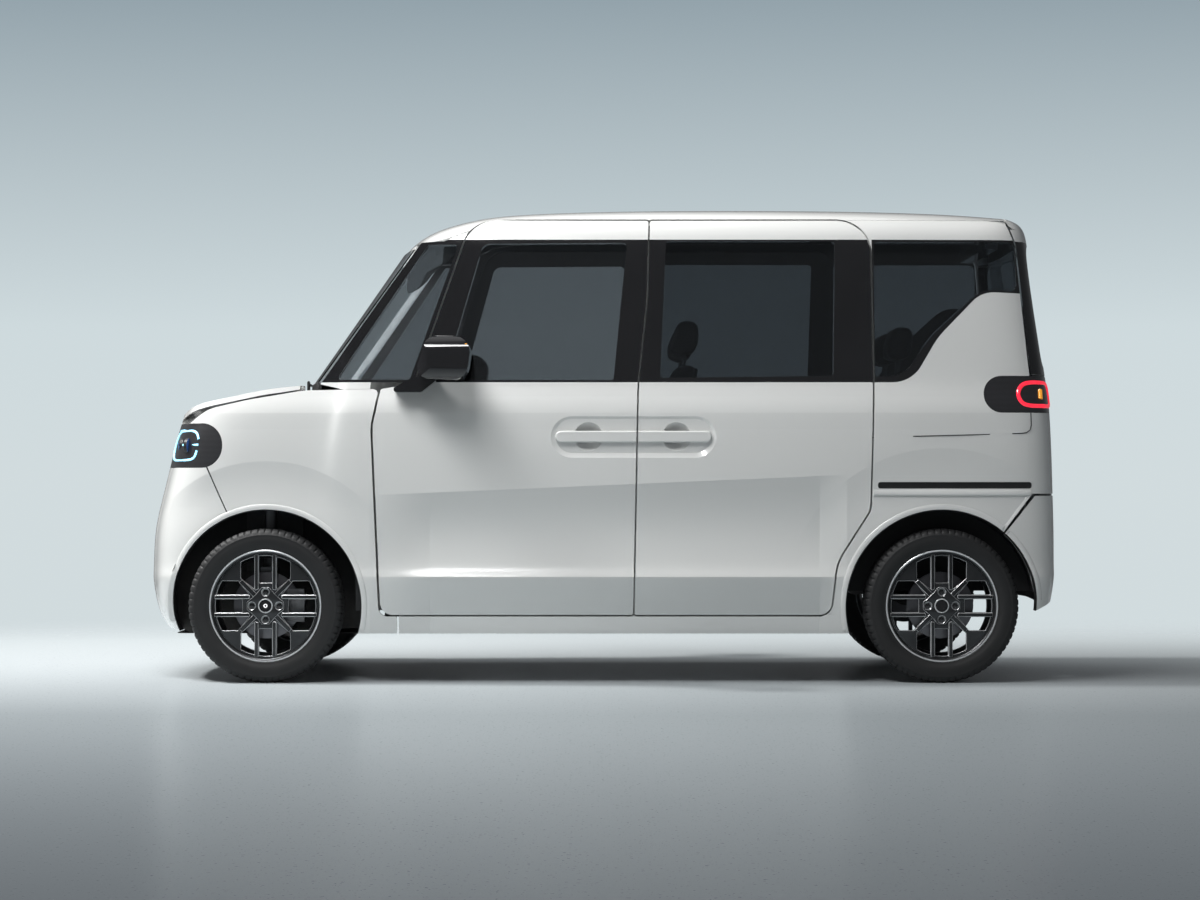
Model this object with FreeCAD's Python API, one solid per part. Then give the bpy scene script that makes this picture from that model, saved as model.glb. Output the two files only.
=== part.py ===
import FreeCAD, Part
import math
import os

# A tall electric kei car: hinged front doors, sliding rear doors, lifting tailgate and bonnet.
# X runs to the rear, Y to the car's right and Z up. The origin is on the ground, under the
# middle of the body. Lengths are millimetres and angles are degrees.

V = FreeCAD.Vector

# Overall size
front_overhang = 477.0
wheelbase = 2467.0
rear_overhang = 451.0
half_width = 737.5
body_height = 1770.0
belt_height = 1097.0

# Walls, gaps and seats
skin_depth = 22.0
panel_gap = 6.0
hinge_gap = 8.0
rabbet = 30.0
rabbet_gap = 6.0
glass_depth = 5.0
glass_thick = 5.0
fit_gap = 0.3
joint_gap = 0.8
overrun = 60.0
round_unit = 100.0
reach = 900.0

# Inner width of the cabin and of the doors, at the belt and at the roof edge
cabin_half = 620.0
cabin_half_top = 552.0
door_half = 668.0
door_half_top = 566.0
door_half_low = 655.0

# Wheels, tyres and steering
hub_height = 281.0
tyre_radius = 281.0
tyre_width = 165.0
track_half = 650.0
arch_radius = 348.0

# Heights of the main lines
door_bottom = 248.0
roof_edge = 1699.0

front_end = -(front_overhang + wheelbase + rear_overhang) / 2
front_axle = front_end + front_overhang
rear_axle = front_axle + wheelbase
rear_end = rear_axle + rear_overhang


# Stations: 0 to 1 is the nose, 1 to 2 lies between the axles and 2 to 3 is the tail.
def station(share):
    if share < 1:
        return front_end + share * front_overhang
    if share < 2:
        return front_axle + (share - 1) * wheelbase
    return rear_axle + (share - 2) * rear_overhang


# Levels: 0 to 1 runs from the ground to the belt and 1 to 2 from the belt to the roof.
def level(share):
    if share < 1:
        return share * belt_height
    return belt_height + (share - 1) * (body_height - belt_height)


# A closed outline from corner points with radii, moved out by a margin all round
def offset_corners(corners, margin):
    count = len(corners)
    area = 0
    for i in range(count):
        p, q = corners[i], corners[(i + 1) % count]
        area += p[0] * q[1] - q[0] * p[1]
    turn = 1 if area > 0 else -1
    moved = []
    for i in range(count):
        p, q, r = corners[i - 1], corners[i], corners[(i + 1) % count]
        a = math.atan2(q[1] - p[1], q[0] - p[0])
        b = math.atan2(r[1] - q[1], r[0] - q[0])
        half = math.remainder(b - a, 2 * math.pi) / 2
        out = a + half - turn * math.pi / 2
        step = margin / math.cos(half)
        radius = q[2] + turn * margin * (1 if half > 0 else -1)
        radius = max(radius, 0) if q[2] else 0
        moved.append((q[0] + step * math.cos(out), q[1] + step * math.sin(out), radius))
    return moved


def outline_face(corners, place, margin=0):
    corners = offset_corners(corners, margin) if margin else corners
    count = len(corners)
    edges = []
    ends = []
    for i in range(count):
        p, q, r = corners[i - 1], corners[i], corners[(i + 1) % count]
        a = math.atan2(q[1] - p[1], q[0] - p[0])
        b = math.atan2(r[1] - q[1], r[0] - q[0])
        turn = math.remainder(b - a, 2 * math.pi)
        room = min(math.dist(p[:2], q[:2]), math.dist(q[:2], r[:2])) * 0.49
        reach_in = min(q[2] * abs(math.tan(turn / 2)), room)
        if reach_in < fit_gap:
            ends.append((q[:2], None, q[:2]))
            continue
        start = (q[0] - reach_in * math.cos(a), q[1] - reach_in * math.sin(a))
        stop = (q[0] + reach_in * math.cos(b), q[1] + reach_in * math.sin(b))
        radius = reach_in / abs(math.tan(turn / 2))
        sag = radius / math.cos(turn / 2) - radius
        inward = a + turn / 2 + math.copysign(math.pi / 2, turn)
        middle = (q[0] + sag * math.cos(inward), q[1] + sag * math.sin(inward))
        ends.append((start, middle, stop))
    for i in range(count):
        start, middle, stop = ends[i]
        if middle:
            edges.append(Part.Arc(place(*start), place(*middle), place(*stop)).toShape())
        after = ends[(i + 1) % count][0]
        if math.dist(stop, after) > fit_gap / 100:
            edges.append(Part.LineSegment(place(*stop), place(*after)).toShape())
    return Part.Face(Part.Wire(edges))


# Prisms from outlines seen from the side, the rear and above
def side_prism(corners, low, high, margin=0):
    face = outline_face(corners, lambda x, z: V(x, low, z), margin)
    return face.extrude(V(0, high - low, 0))


def rear_prism(corners, low, high, margin=0):
    face = outline_face(corners, lambda y, z: V(low, y, z), margin)
    return face.extrude(V(high - low, 0, 0))


def plan_prism(corners, low, high, margin=0):
    face = outline_face(corners, lambda x, y: V(x, y, low), margin)
    return face.extrude(V(0, 0, high - low))


def on_body(shares, shift=0, drop=0):
    return [(station(s) + shift, level(h) + drop, r * round_unit) for s, h, r in shares]


def block(x0, x1, y0, y1, z0, z1):
    return Part.makeBox(x1 - x0, y1 - y0, z1 - z0, V(x0, y0, z0))


def rod(start, end, radius):
    return Part.makeCylinder(radius, (end - start).Length, start, end - start)


def mirrored(shape):
    return shape.mirror(V(0, 0, 0), V(0, 1, 0))


def fused(*shapes):
    shape = shapes[0].fuse(list(shapes[1:]))
    return shape.removeSplitter()


def both_sides(shape):
    return Part.Compound([shape, mirrored(shape)])


def whole(half):
    return half.fuse(mirrored(half)).removeSplitter()


def write(name, shape):
    shape.exportStep("parts/" + name + ".step")


# Spline surfaces from a control net
def clamped_knots(count):
    spans = count - 3
    return [i / spans for i in range(spans + 1)], [4] + [1] * (spans - 1) + [4]


def net_surface(rows):
    u_knots, u_mults = clamped_knots(len(rows))
    v_knots, v_mults = clamped_knots(len(rows[0]))
    surface = Part.BSplineSurface()
    surface.buildFromPolesMultsKnots(rows, u_mults, v_mults, u_knots, v_knots, False, False, 3, 3)
    return surface


# The body's outer skin: level, half width, nose station and tail station of each row
body_row_shares = [
    (0.100, 0.900, 0.300, 2.800), (0.150, 0.940, 0.150, 2.880), (0.195, 0.958, 0.075, 2.930),
    (0.240, 0.974, 0.030, 2.965), (0.300, 0.988, 0.006, 2.990), (0.338, 0.998, -0.003, 2.999),
    (0.356, 1.000, -0.003, 3.003), (0.378, 0.988, -0.002, 3.003), (0.420, 0.988, 0.000, 3.002),
    (0.520, 0.994, 0.012, 3.000), (0.630, 0.999, 0.080, 2.990), (0.730, 1.001, 0.135, 2.984),
    (0.820, 1.000, 0.185, 2.975), (0.890, 0.994, 0.235, 2.968), (0.925, 0.986, 0.262, 2.962),
    (0.960, 0.972, 0.290, 2.955), (1.000, 0.953, 0.300, 2.945), (1.150, 0.938, 0.300, 2.915),
    (1.400, 0.912, 0.300, 2.862), (1.640, 0.886, 0.300, 2.818), (1.780, 0.868, 0.300, 2.806),
    (1.850, 0.840, 0.300, 2.785), (1.895, 0.795, 0.300, 2.740), (1.920, 0.760, 0.300, 2.640),
    (1.938, 0.710, 0.300, 2.490), (1.960, 0.610, 0.300, 2.360),
]
nose_corner = 235.0
nose_bow = 78.0
tail_corner = 120.0
tail_bow = 34.0
nose_taper = 22.0
tail_taper = 9.0
# Poles of a corner: how far in from the end and how far in from the side, in corner sizes
corner_shares = [(2.6, 0.02), (1.7, 0.05), (0.95, 0.11), (0.45, 0.26), (0.16, 0.55), (0.04, 1.0)]
face_shares = [0.62, 0.42, 0.20, 0.0]
side_station_shares = [1.10, 1.30, 1.50, 1.70, 1.90]


def body_row(height_share, width_share, nose_share, tail_share):
    z = level(height_share)
    wide = width_share * half_width
    nose = station(nose_share)
    tail = station(tail_share)
    row = []
    flat = wide - nose_taper - nose_corner
    for share in reversed(face_shares):
        y = share * (flat - nose_corner * 0.1) / face_shares[0]
        row.append(V(nose + nose_bow * (y / wide) ** 2, -y, z))
    bow = nose_bow * (flat / wide) ** 2
    for inward, aside in reversed(corner_shares):
        row.append(V(nose + bow + inward * nose_corner, -(wide - nose_taper - aside * nose_corner), z))
    for share in side_station_shares:
        row.append(V(station(share), -wide, z))
    flat = wide - tail_taper - tail_corner
    bow = tail_bow * (flat / wide) ** 2
    for inward, aside in corner_shares:
        row.append(V(tail - bow - inward * tail_corner, -(wide - tail_taper - aside * tail_corner), z))
    for share in face_shares:
        y = share * (flat - tail_corner * 0.1) / face_shares[0]
        row.append(V(tail - tail_bow * (y / wide) ** 2, -y, z))
    return row


body_surface = net_surface([body_row(*shares) for shares in body_row_shares])


def column_at(x):
    low, high = 0, 1
    for _ in range(30):
        middle = (low + high) / 2
        if body_surface.value(0.5, middle).x < x:
            low = middle
        else:
            high = middle
    return low


# Half width of the skin at a place along the body and a height
column_rate = 0.45


def half_at(x, z):
    column = column_at(x)
    for _ in range(2):
        low, high = 0, 1
        for _ in range(24):
            middle = (low + high) / 2
            if body_surface.value(middle, column).z < z:
                low = middle
            else:
                high = middle
        across = body_surface.value(low, column)
        column += (x - across.x) / (rear_end - front_end) * column_rate
    return -body_surface.value(low, column).y


def body_face(v0, v1):
    part = body_surface.copy()
    part.segment(0, 1, v0, v1)
    return part.toShape()


# Outlines in the side view: station, level and corner radius, from the front foot upwards
front_door_shares = [
    (1.1705, 0.226, 0.45), (1.1587, 0.852, 2.0), (1.1705, 0.977, 0.08), (1.2203, 0.996, 0.10),
    (1.3050, 1.8915, 1.25), (1.5670, 1.8900, 0.08), (1.5636, 1.453, 10.0), (1.5500, 0.9945, 10.0),
    (1.5434, 0.226, 0.08),
]
slide_door_rear_shares = [
    (1.8352, 0.226, 0.45), (1.8440, 0.401, 1.8), (1.8935, 0.576, 0.60), (1.8989, 1.033, 20.0),
    (1.8960, 1.8915, 1.25),
]
fender_shares = [
    (1.136, 0.163, 0.05), (1.194, 0.163, 0.05), (1.194, 0.2205, 0.05),
]
fender_top_shares = [
    (1.056, 0.9735, 3.0), (0.856, 0.9425, 5.0), (0.540, 0.9115, 1.5), (0.389, 0.866, 0.05),
    (0.540, 0.722, 0.05), (0.7055, 0.565, 0.05), (1.000, 0.256, 0.0),
]
front_glass_shares = [
    (1.263, 1.012, 0.12), (1.321, 1.758, 0.35), (1.535, 1.763, 0.15), (1.515, 1.012, 0.12),
]
slide_glass_shares = [
    (1.584, 1.024, 0.12), (1.593, 1.772, 0.12), (1.844, 1.772, 0.15), (1.840, 1.036, 0.12),
]
corner_glass_shares = [
    (1.104, 1.014, 0.10), (1.2395, 1.752, 0.10), (1.284, 1.752, 0.10), (1.213, 1.014, 0.10),
]
quarter_glass_shares = [
    (1.902, 1.768, 0.15), (2.618, 1.768, 0.25), (2.632, 1.500, 0.25), (2.340, 1.510, 1.1),
    (1.985, 1.250, 3.0), (1.945, 1.036, 1.3), (1.902, 1.030, 0.12),
]
frame_shares = [
    (1.1332, 0.239, 0.0), (1.1332, 0.966, 0.0), (1.0800, 0.994, 0.0), (1.2290, 1.764, 0.0),
    (1.2620, 1.770, 0.0), (1.2900, 1.813, 0.0), (1.3200, 1.866, 0.0), (1.3500, 1.883, 0.0),
    (1.4300, 1.8913, 0.0), (2.5500, 1.8913, 0.0), (2.6210, 1.759, 0.0), (2.7250, 1.030, 0.0),
    (2.6960, 0.960, 0.0), (2.6960, 0.629, 0.0), (2.5230, 0.513, 0.0), (2.0000, 0.256, 0.0),
    (1.8600, 0.163, 0.0), (1.1970, 0.163, 0.0), (1.1970, 0.239, 0.0),
]
headlamp_shares = [
    (0.100, 0.716, 0.30), (0.659, 0.716, 0.78), (0.659, 0.864, 0.78), (0.100, 0.864, 0.30),
]
tail_lamp_shares = [
    (2.344, 0.899, 0.66), (3.100, 0.899, 0.10), (3.100, 1.035, 0.10), (2.344, 1.035, 0.66),
]
front_bumper_shares = [
    (0.689, 0.572, 0.0), (0.528, 0.722, 0.0), (0.528, 0.862, 0.0), (-0.100, 0.862, 0.0),
    (-0.100, 0.215, 0.0), (0.110, 0.180, 0.3), (0.280, 0.166, 0.3), (1.000, 0.166, 0.0),
    (1.000, 0.256, 0.0),
]
rear_bumper_shares = [
    (2.531, 0.507, 0.0), (2.757, 0.6215, 0.0), (3.100, 0.622, 0.0), (3.100, 0.300, 0.0),
    (2.950, 0.272, 0.4), (2.760, 0.236, 0.4), (2.000, 0.236, 0.0), (2.000, 0.256, 0.0),
]
tailgate_side_shares = [
    (2.5730, 1.960, 0.0), (2.5730, 1.880, 0.0), (2.6350, 1.759, 0.0), (2.7390, 1.020, 0.0),
    (2.7390, 0.300, 0.0), (3.1000, 0.300, 0.0), (3.1000, 1.960, 0.0),
]
front_door = on_body(front_door_shares)
slide_front = [(x + panel_gap, z, r) for x, z, r in front_door[5:]]
slide_door = slide_front[-1:] + on_body(slide_door_rear_shares) + slide_front[:-1]
fender_rear = [(x - hinge_gap, z, r + hinge_gap) for x, z, r in front_door[:3]]
fender_rear[0] = (fender_rear[0][0], fender_rear[0][1] - panel_gap, fender_rear[0][2])
fender = on_body(fender_shares) + fender_rear + on_body(fender_top_shares)
headlamp = on_body(headlamp_shares)
tail_lamp = on_body(tail_lamp_shares)
front_bumper = on_body(front_bumper_shares)
rear_bumper = on_body(rear_bumper_shares)
front_glass = on_body(front_glass_shares)
slide_glass = on_body(slide_glass_shares)
corner_glass = on_body(corner_glass_shares)
quarter_glass = on_body(quarter_glass_shares)

# The skin's parts: nose, side and tail, as faces of the one body surface
nose_end_share = 1.04
nose_end = station(nose_end_share)
side_start_share = 0.32
side_start = station(side_start_share)
side_end_share = 2.90
side_end = station(side_end_share)
tail_start_share = 1.95
tail_start = station(tail_start_share)
nose_face = body_face(0, column_at(nose_end))
side_face = body_face(column_at(side_start), column_at(side_end))
tail_face = body_face(column_at(tail_start), 1)


def layer(outer, inner):
    face = side_face.copy()
    face.translate(V(0, outer, 0))
    return face.extrude(V(0, inner - outer, 0))


def cavity(low_half, belt_half, top_half):
    section = [(-low_half, 0, 0), (-low_half, belt_height * 0.5, 0), (-belt_half, belt_height, 0),
               (-top_half, roof_edge, 0), (-top_half, body_height, 0), (0, body_height, 0), (0, 0, 0)]
    return rear_prism(section, front_end - overrun, rear_end + overrun)


def glass_pane(outline):
    pane = layer(glass_depth, glass_depth + glass_thick)
    return pane.common(side_prism(outline, -reach, 0, -fit_gap))


wall_depth = 300.0
cabin_space = cavity(cabin_half, cabin_half, cabin_half_top)
door_space = cavity(door_half_low, door_half, door_half_top)
side_wall = layer(0, wall_depth)
frame_wall = side_wall.cut(cabin_space)
door_wall = side_wall.cut(door_space)
lip_back = layer(skin_depth, wall_depth + overrun)
pocket_layer = layer(-overrun, skin_depth + rabbet_gap)
skin_layer = layer(-overrun, skin_depth + fit_gap)


def wheel_space(axle, radius, inner, outer):
    return rod(V(axle, inner, hub_height), V(axle, outer, hub_height), radius)


def door_panel(outline, windows):
    panel = door_wall.common(side_prism(outline, -reach, 0))
    rim = lip_back.cut(side_prism(outline, -reach, 0, -rabbet))
    panel = panel.cut(rim)
    for window in windows:
        panel = panel.cut(side_prism(window, -reach, 0))
    return panel


# Dark covers over the window frames: thin sheets let into the skin, flush with it
sash_thick = 4.0
sash_low_share = 1.000
sash_low = level(sash_low_share)
sash_top_share = 1.781
sash_top = level(sash_top_share)
pillar_trim_shares = [
    (1.0700, 1.000, 0.0), (1.2200, 1.781, 0.0), (1.3200, 1.781, 0.0), (1.2180, 1.000, 0.0),
]
quarter_trim_shares = [
    (1.8990, 1.000, 0.0), (1.8990, 1.781, 0.0), (2.7600, 1.781, 0.0), (2.7600, 1.500, 0.0),
    (2.6550, 1.488, 0.2), (2.3400, 1.496, 1.1), (1.9960, 1.246, 3.0), (1.9560, 1.000, 1.3),
]
pillar_trim = on_body(pillar_trim_shares)
quarter_trim = on_body(quarter_trim_shares)


def sash_cover(outline, window):
    cover = layer(0, sash_thick).common(side_prism(outline, -reach, 0))
    cover = cover.common(block(front_end, rear_end, -reach, 0, sash_low, sash_top))
    return cover.cut(side_prism(window, -reach, 0))


def sash_room(outline):
    room = layer(-overrun, sash_thick + fit_gap).common(side_prism(outline, -reach, 0, overrun / 4))
    return room.common(block(front_end, rear_end, -reach, 0, sash_low - fit_gap, sash_top + fit_gap))


def pillar_covers():
    sheet = layer(0, sash_thick).common(side_prism(on_body(frame_shares), -reach, 0))
    for outline in (front_door, slide_door):
        sheet = sheet.cut(side_prism(outline, -reach, 0, panel_gap))
    front = sheet.common(side_prism(pillar_trim, -reach, 0)).cut(side_prism(corner_glass, -reach, 0))
    rear = sheet.common(side_prism(quarter_trim, -reach, 0)).cut(side_prism(quarter_glass, -reach, 0))
    return front.Solids + rear.Solids


def pillar_room():
    sheet = layer(-overrun, sash_thick + fit_gap)
    return [sheet.common(side_prism(outline, -reach, 0, fit_gap)) for outline in (pillar_trim, quarter_trim)]


# Pull handles: a dished recess over both doors, a scoop for the fingers and a bar in each door
handle_low_share = 0.750
handle_low = level(handle_low_share)
handle_high_share = 0.8925
handle_high = level(handle_high_share)
handle_front_share = 1.4222
handle_front = station(handle_front_share)
handle_rear_share = 1.6663
handle_rear = station(handle_rear_share)
handle_middle_share = 0.8186
handle_middle = level(handle_middle_share)
handle_half_height = 21.0
dish_depth = 9.0
dish_slope = 16.0
scoop_radius = 72.0
scoop_reach = 53.0
scoop_stations = (1.4777, 1.6078)
bar_proud = 6.0


def stadium(x0, x1, z0, z1):
    radius = (z1 - z0) * 0.49
    return [(x0, z0, radius), (x1, z0, radius), (x1, z1, radius), (x0, z1, radius)]


def handle_dish():
    skin_y = -half_at((handle_front + handle_rear) / 2, handle_middle)
    outline = stadium(handle_front, handle_rear, handle_low, handle_high)
    spread = dish_slope / dish_depth
    outer = outline_face(outline, lambda x, z: V(x, skin_y - overrun / 2, z), overrun / 2 * spread)
    inner = outline_face(outline, lambda x, z: V(x, skin_y + dish_depth, z), -dish_slope)
    return Part.makeLoft([outer.OuterWire, inner.OuterWire], True)


def handle_rooms():
    skin_y = -half_at((handle_front + handle_rear) / 2, handle_middle)
    out = math.sqrt(scoop_radius ** 2 - scoop_reach ** 2)
    scoops = [Part.makeSphere(scoop_radius, V(station(s), skin_y + dish_depth - out, handle_middle))
              for s in scoop_stations]
    return [handle_dish()] + scoops


def handle_bar(outline):
    skin_y = -half_at((handle_front + handle_rear) / 2, handle_middle)
    corners = stadium(handle_front + dish_slope, handle_rear - dish_slope, handle_middle - handle_half_height,
                      handle_middle + handle_half_height)
    bar = side_prism(corners, skin_y - bar_proud, skin_y + dish_depth - fit_gap)
    rim = [e for e in bar.Edges if e.BoundBox.YMax < skin_y - bar_proud + fit_gap]
    bar = bar.makeFillet(bar_proud, rim)
    return bar.common(side_prism(outline, -reach, 0))


# Sliding door rail: a slot along the rear quarter with a dark rail at its back
rail_slot_shares = [
    (1.9050, 0.668, 0.10), (2.7300, 0.668, 0.10), (2.7300, 0.646, 0.10), (1.9050, 0.646, 0.10),
]
rail_slot = on_body(rail_slot_shares)
rail_depth = 15.0
rail_thick = 5.0


def rail_room():
    return layer(-overrun, rail_depth).common(side_prism(rail_slot, -reach, 0))


def rail_left():
    back = layer(rail_depth - rail_thick, rail_depth - fit_gap)
    return back.common(side_prism(rail_slot, -reach, 0, -fit_gap))


# Front door hinges: pins on the body's pillar, in bores of the door
hinge_inset = 70.0
hinge_half = 717.0
hinge_levels_share = (0.46, 0.80)
pin_radius = 5.0
pin_length = 62.0
pin_clearance = 0.05
arm_half = 11.0
arm_width = 6.0
arm_room = 6.0
hinge_x = station(front_door_shares[1][0]) + hinge_inset
slab_sweep = math.hypot(hinge_inset - rabbet, hinge_half - door_half_low) + panel_gap
leg_half = 590.0
pillar_half = 575.0


def hinge_pins():
    shapes = []
    for share in hinge_levels_share:
        z = level(share)
        pin = rod(V(hinge_x, -hinge_half, z - pin_length / 2), V(hinge_x, -hinge_half, z + pin_length / 2),
                  pin_radius)
        arm = block(hinge_x - arm_width, hinge_x + arm_width, -hinge_half, -cabin_half,
                    z - arm_half, z + arm_half)
        leg = block(hinge_x - hinge_inset, hinge_x + arm_width, -cabin_half - arm_width, -leg_half,
                    z - arm_half, z + arm_half)
        shapes.append(pin.fuse([arm, leg]))
    return shapes


def hinge_room():
    shapes = []
    for share in hinge_levels_share:
        z = level(share)
        bore = rod(V(hinge_x, -hinge_half, z - pin_length / 2 - arm_room),
                   V(hinge_x, -hinge_half, z + pin_length / 2 + arm_room), pin_radius + pin_clearance)
        low = z - arm_half - arm_room
        high = z + arm_half + arm_room
        swing = rod(V(hinge_x, -hinge_half, low), V(hinge_x, -hinge_half, high), arm_width + arm_room)
        slot = block(hinge_x - hinge_inset - overrun, hinge_x + arm_width + arm_room,
                     -hinge_half - arm_width * 0.75, -cabin_half + overrun, low, high)
        shapes += [bore, swing, slot]
    return shapes


def front_door_left():
    door = door_panel(front_door, [front_glass])
    for shape in hinge_room() + handle_rooms() + [sash_room(front_door)]:
        door = door.cut(shape)
    return door


rest_pad_shares = [(1.560, 0.45), (1.560, 0.85), (1.878, 0.70), (1.889, 0.95)]
rest_pad = 9.0


def slide_door_left():
    door = door_panel(slide_door, [slide_glass])
    pads = layer(skin_depth / 2, skin_depth + rabbet_gap - fit_gap)
    for s, h in rest_pad_shares:
        x, z = station(s), level(h)
        pad = block(x - rest_pad, x + rest_pad, -reach, 0, z - rest_pad, z + rest_pad)
        door = door.fuse(pads.common(pad))
    for shape in handle_rooms() + [sash_room(slide_door)]:
        door = door.cut(shape)
    return door


# Side frame: the body's side around both doors, with the rear wheel's tub and the lamp's corner
front_wall_share = 1.1332
front_wall = station(front_wall_share)
sill_top = 312.0
tub_radius = arch_radius
tub_wall = 14.0
tub_inner = 532.0
tub_foot = 330.0
tail_lamp_inner = 500.0
corner_share = 2.696
corner_start = station(corner_share)
corner_low_share = 0.629
corner_depth = 46.0
gate_half = 530.0


def side_frame_left():
    frame = frame_wall.common(side_prism(on_body(frame_shares), -reach, 0))
    for outline in (front_door, slide_door):
        frame = frame.cut(pocket_layer.common(side_prism(outline, -reach, 0, panel_gap)))
        frame = frame.cut(side_prism(outline, -reach, 0, rabbet_gap - rabbet))
    frame = frame.cut(skin_layer.common(side_prism(fender, -reach, 0, joint_gap)))
    for outline in (corner_glass, quarter_glass):
        frame = frame.cut(side_prism(outline, -reach, 0))
    frame = frame.cut(wheel_space(rear_axle, arch_radius, -reach, 0))
    frame = frame.cut(side_prism(tail_lamp, -reach, -tail_lamp_inner, joint_gap))
    sweep = rod(V(hinge_x, -hinge_half, door_bottom), V(hinge_x, -hinge_half, belt_height), slab_sweep)
    frame = frame.cut(sweep)
    pillar_rear = hinge_x - hinge_inset + rabbet - panel_gap
    pillar = block(front_wall, pillar_rear, -cabin_half, -pillar_half, sill_top, belt_height * 0.94)
    frame = frame.fuse([pillar] + hinge_pins())
    tub = wheel_space(rear_axle, tub_radius + tub_wall, -cabin_half, -tub_inner)
    tub = tub.cut(wheel_space(rear_axle, arch_radius, -reach, -tub_inner - tub_wall))
    tub = tub.cut(block(rear_axle - reach, rear_axle + reach, -reach, 0, -reach, tub_foot))
    frame = frame.fuse(tub)
    frame = frame.fuse(rear_corner()).removeSplitter()
    for shape in pillar_room() + [rail_room()]:
        frame = frame.cut(shape)
    return frame


def rear_corner():
    corner = tail_face.extrude(V(-corner_depth, corner_depth, 0))
    corner = corner.cut(block(0, corner_start, -reach, 0, 0, body_height))
    low, high = level(corner_low_share), belt_height
    corner = corner.common(block(corner_start, rear_end + overrun, -reach, -gate_half - panel_gap, low, high))
    gate = on_body(tailgate_side_shares[:4])
    gate += [(rear_end + overrun, gate[-1][1], 0), (rear_end + overrun, gate[0][1], 0)]
    corner = corner.cut(side_prism(gate, -reach, 0, panel_gap))
    return corner.cut(side_prism(tail_lamp, -reach, -tail_lamp_inner, joint_gap))


def fender_left():
    panel = layer(0, skin_depth).common(side_prism(fender, -reach, 0))
    panel = panel.cut(wheel_space(front_axle, arch_radius, -reach, 0))
    return panel.cut(side_prism(headlamp, -reach, 0, joint_gap))


# Roof: each row gives the height of the middle line and of the side edge on the body's skin
roof_row_shares = [
    (1.2240, 1.745, 1.740, 80), (1.2310, 1.785, 1.752, 72), (1.2450, 1.840, 1.768, 58),
    (1.2700, 1.892, 1.790, 40), (1.3100, 1.932, 1.850, 20), (1.3500, 1.953, 1.888, 8),
    (1.4300, 1.975, 1.894, 0), (1.6000, 1.992, 1.895, 0), (1.8500, 1.988, 1.895, 0),
    (2.0000, 1.970, 1.895, 0), (2.3000, 1.952, 1.895, 0), (2.5800, 1.928, 1.895, 0),
]
roof_across_shares = [
    (0, 0), (0.30, 0.03), (0.58, 0.12), (0.76, 0.27), (0.87, 0.45), (0.945, 0.70), (1.0, 1.0),
]
roof_thick = 130.0
roof_inner_half = 500.0
roof_under_shares = [
    (1.100, 1.000), (1.217, 1.700), (1.262, 1.845), (1.340, 1.900), (1.500, 1.932),
    (1.850, 1.935), (2.400, 1.900), (2.800, 1.885), (2.800, 1.000),
]
roof_side_half = 560.0
roof_rail_shares = [
    (1.200, 1.500), (1.205, 1.766), (1.262, 1.772), (1.290, 1.815), (1.320, 1.868),
    (1.350, 1.885), (1.430, 1.892), (2.700, 1.892), (2.700, 1.500),
]
header_shares = [(2.440, 1.760), (2.440, 1.900), (2.552, 1.900), (2.552, 1.760)]
roof_end = station(header_shares[2][0])


def roof_row(station_share, middle_share, edge_share, bow):
    x, middle, edge = station(station_share), level(middle_share), level(edge_share)
    wide = half_at(x, edge)
    return [V(x - bow * (1 - y * y), -y * wide, middle - d * (middle - edge)) for y, d in roof_across_shares]


def roof_shell():
    sheet = net_surface([roof_row(*shares) for shares in roof_row_shares]).toShape()
    return sheet.extrude(V(0, 0, -roof_thick))


def roof_panel():
    shell = roof_shell()
    shell = shell.cut(side_prism(on_body([(s, h, 0) for s, h in roof_rail_shares]), -reach, -roof_inner_half))
    under = on_body([(s, h, 0) for s, h in roof_under_shares])
    shell = shell.cut(side_prism(under, -roof_inner_half, overrun))
    for outline in (front_door, slide_door):
        shell = shell.cut(side_prism(outline, -reach, -roof_side_half, panel_gap))
    shell = shell.common(block(front_end, roof_end, -reach, 0, 0, body_height + overrun))
    header = side_prism(on_body([(s, h, 0) for s, h in header_shares]), -gate_hinge_half - gate_arm * 2, 0)
    return whole(fused(shell, header, *gate_pins()))


# Tailgate hinges: goosenecks from the roof's rear header to pins inside the tailgate's top
gate_hinge_half = 360.0
gate_arm = 9.0
gate_hinge_share = (2.651, 1.900)
gate_hinge_x = station(gate_hinge_share[0])
gate_hinge_z = level(gate_hinge_share[1])
gate_drop = 56.0
gate_turn = 38.0
gate_pin_length = 60.0
gate_top_depth = 105.0


def gate_pins():
    y0, y1 = -gate_hinge_half - gate_arm, -gate_hinge_half + gate_arm
    pin = rod(V(gate_hinge_x, -gate_hinge_half - gate_pin_length / 2, gate_hinge_z),
              V(gate_hinge_x, -gate_hinge_half + gate_pin_length / 2, gate_hinge_z), pin_radius)
    foot = gate_hinge_z - gate_drop
    leg = block(gate_hinge_x, gate_hinge_x + gate_arm, y0, y1, foot - gate_arm * 2, gate_hinge_z)
    run = block(roof_end - gate_arm, gate_hinge_x + gate_arm, y0, y1, foot - gate_arm * 2, foot)
    return [pin, leg, run]


def gate_hinge_room():
    y0, y1 = -gate_hinge_half - gate_arm - arm_room, -gate_hinge_half + gate_arm + arm_room
    bore = rod(V(gate_hinge_x, -gate_hinge_half - gate_pin_length / 2 - arm_room, gate_hinge_z),
               V(gate_hinge_x, -gate_hinge_half + gate_pin_length / 2 + arm_room, gate_hinge_z),
               pin_radius + pin_clearance)
    axis = [V(gate_hinge_x, y, gate_hinge_z) for y in (y0, y1, -reach, overrun)]
    round_room = rod(axis[0], axis[1], gate_arm + arm_room)
    slot = block(roof_end, gate_hinge_x + gate_arm + arm_room, y0, y1, belt_height, gate_hinge_z)
    front = block(roof_end, gate_hinge_x, -reach, overrun, gate_hinge_z - gate_turn, body_height + overrun)
    front = front.cut(rod(axis[2], axis[3], gate_turn))
    return [bore, round_room, slot, front]


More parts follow.
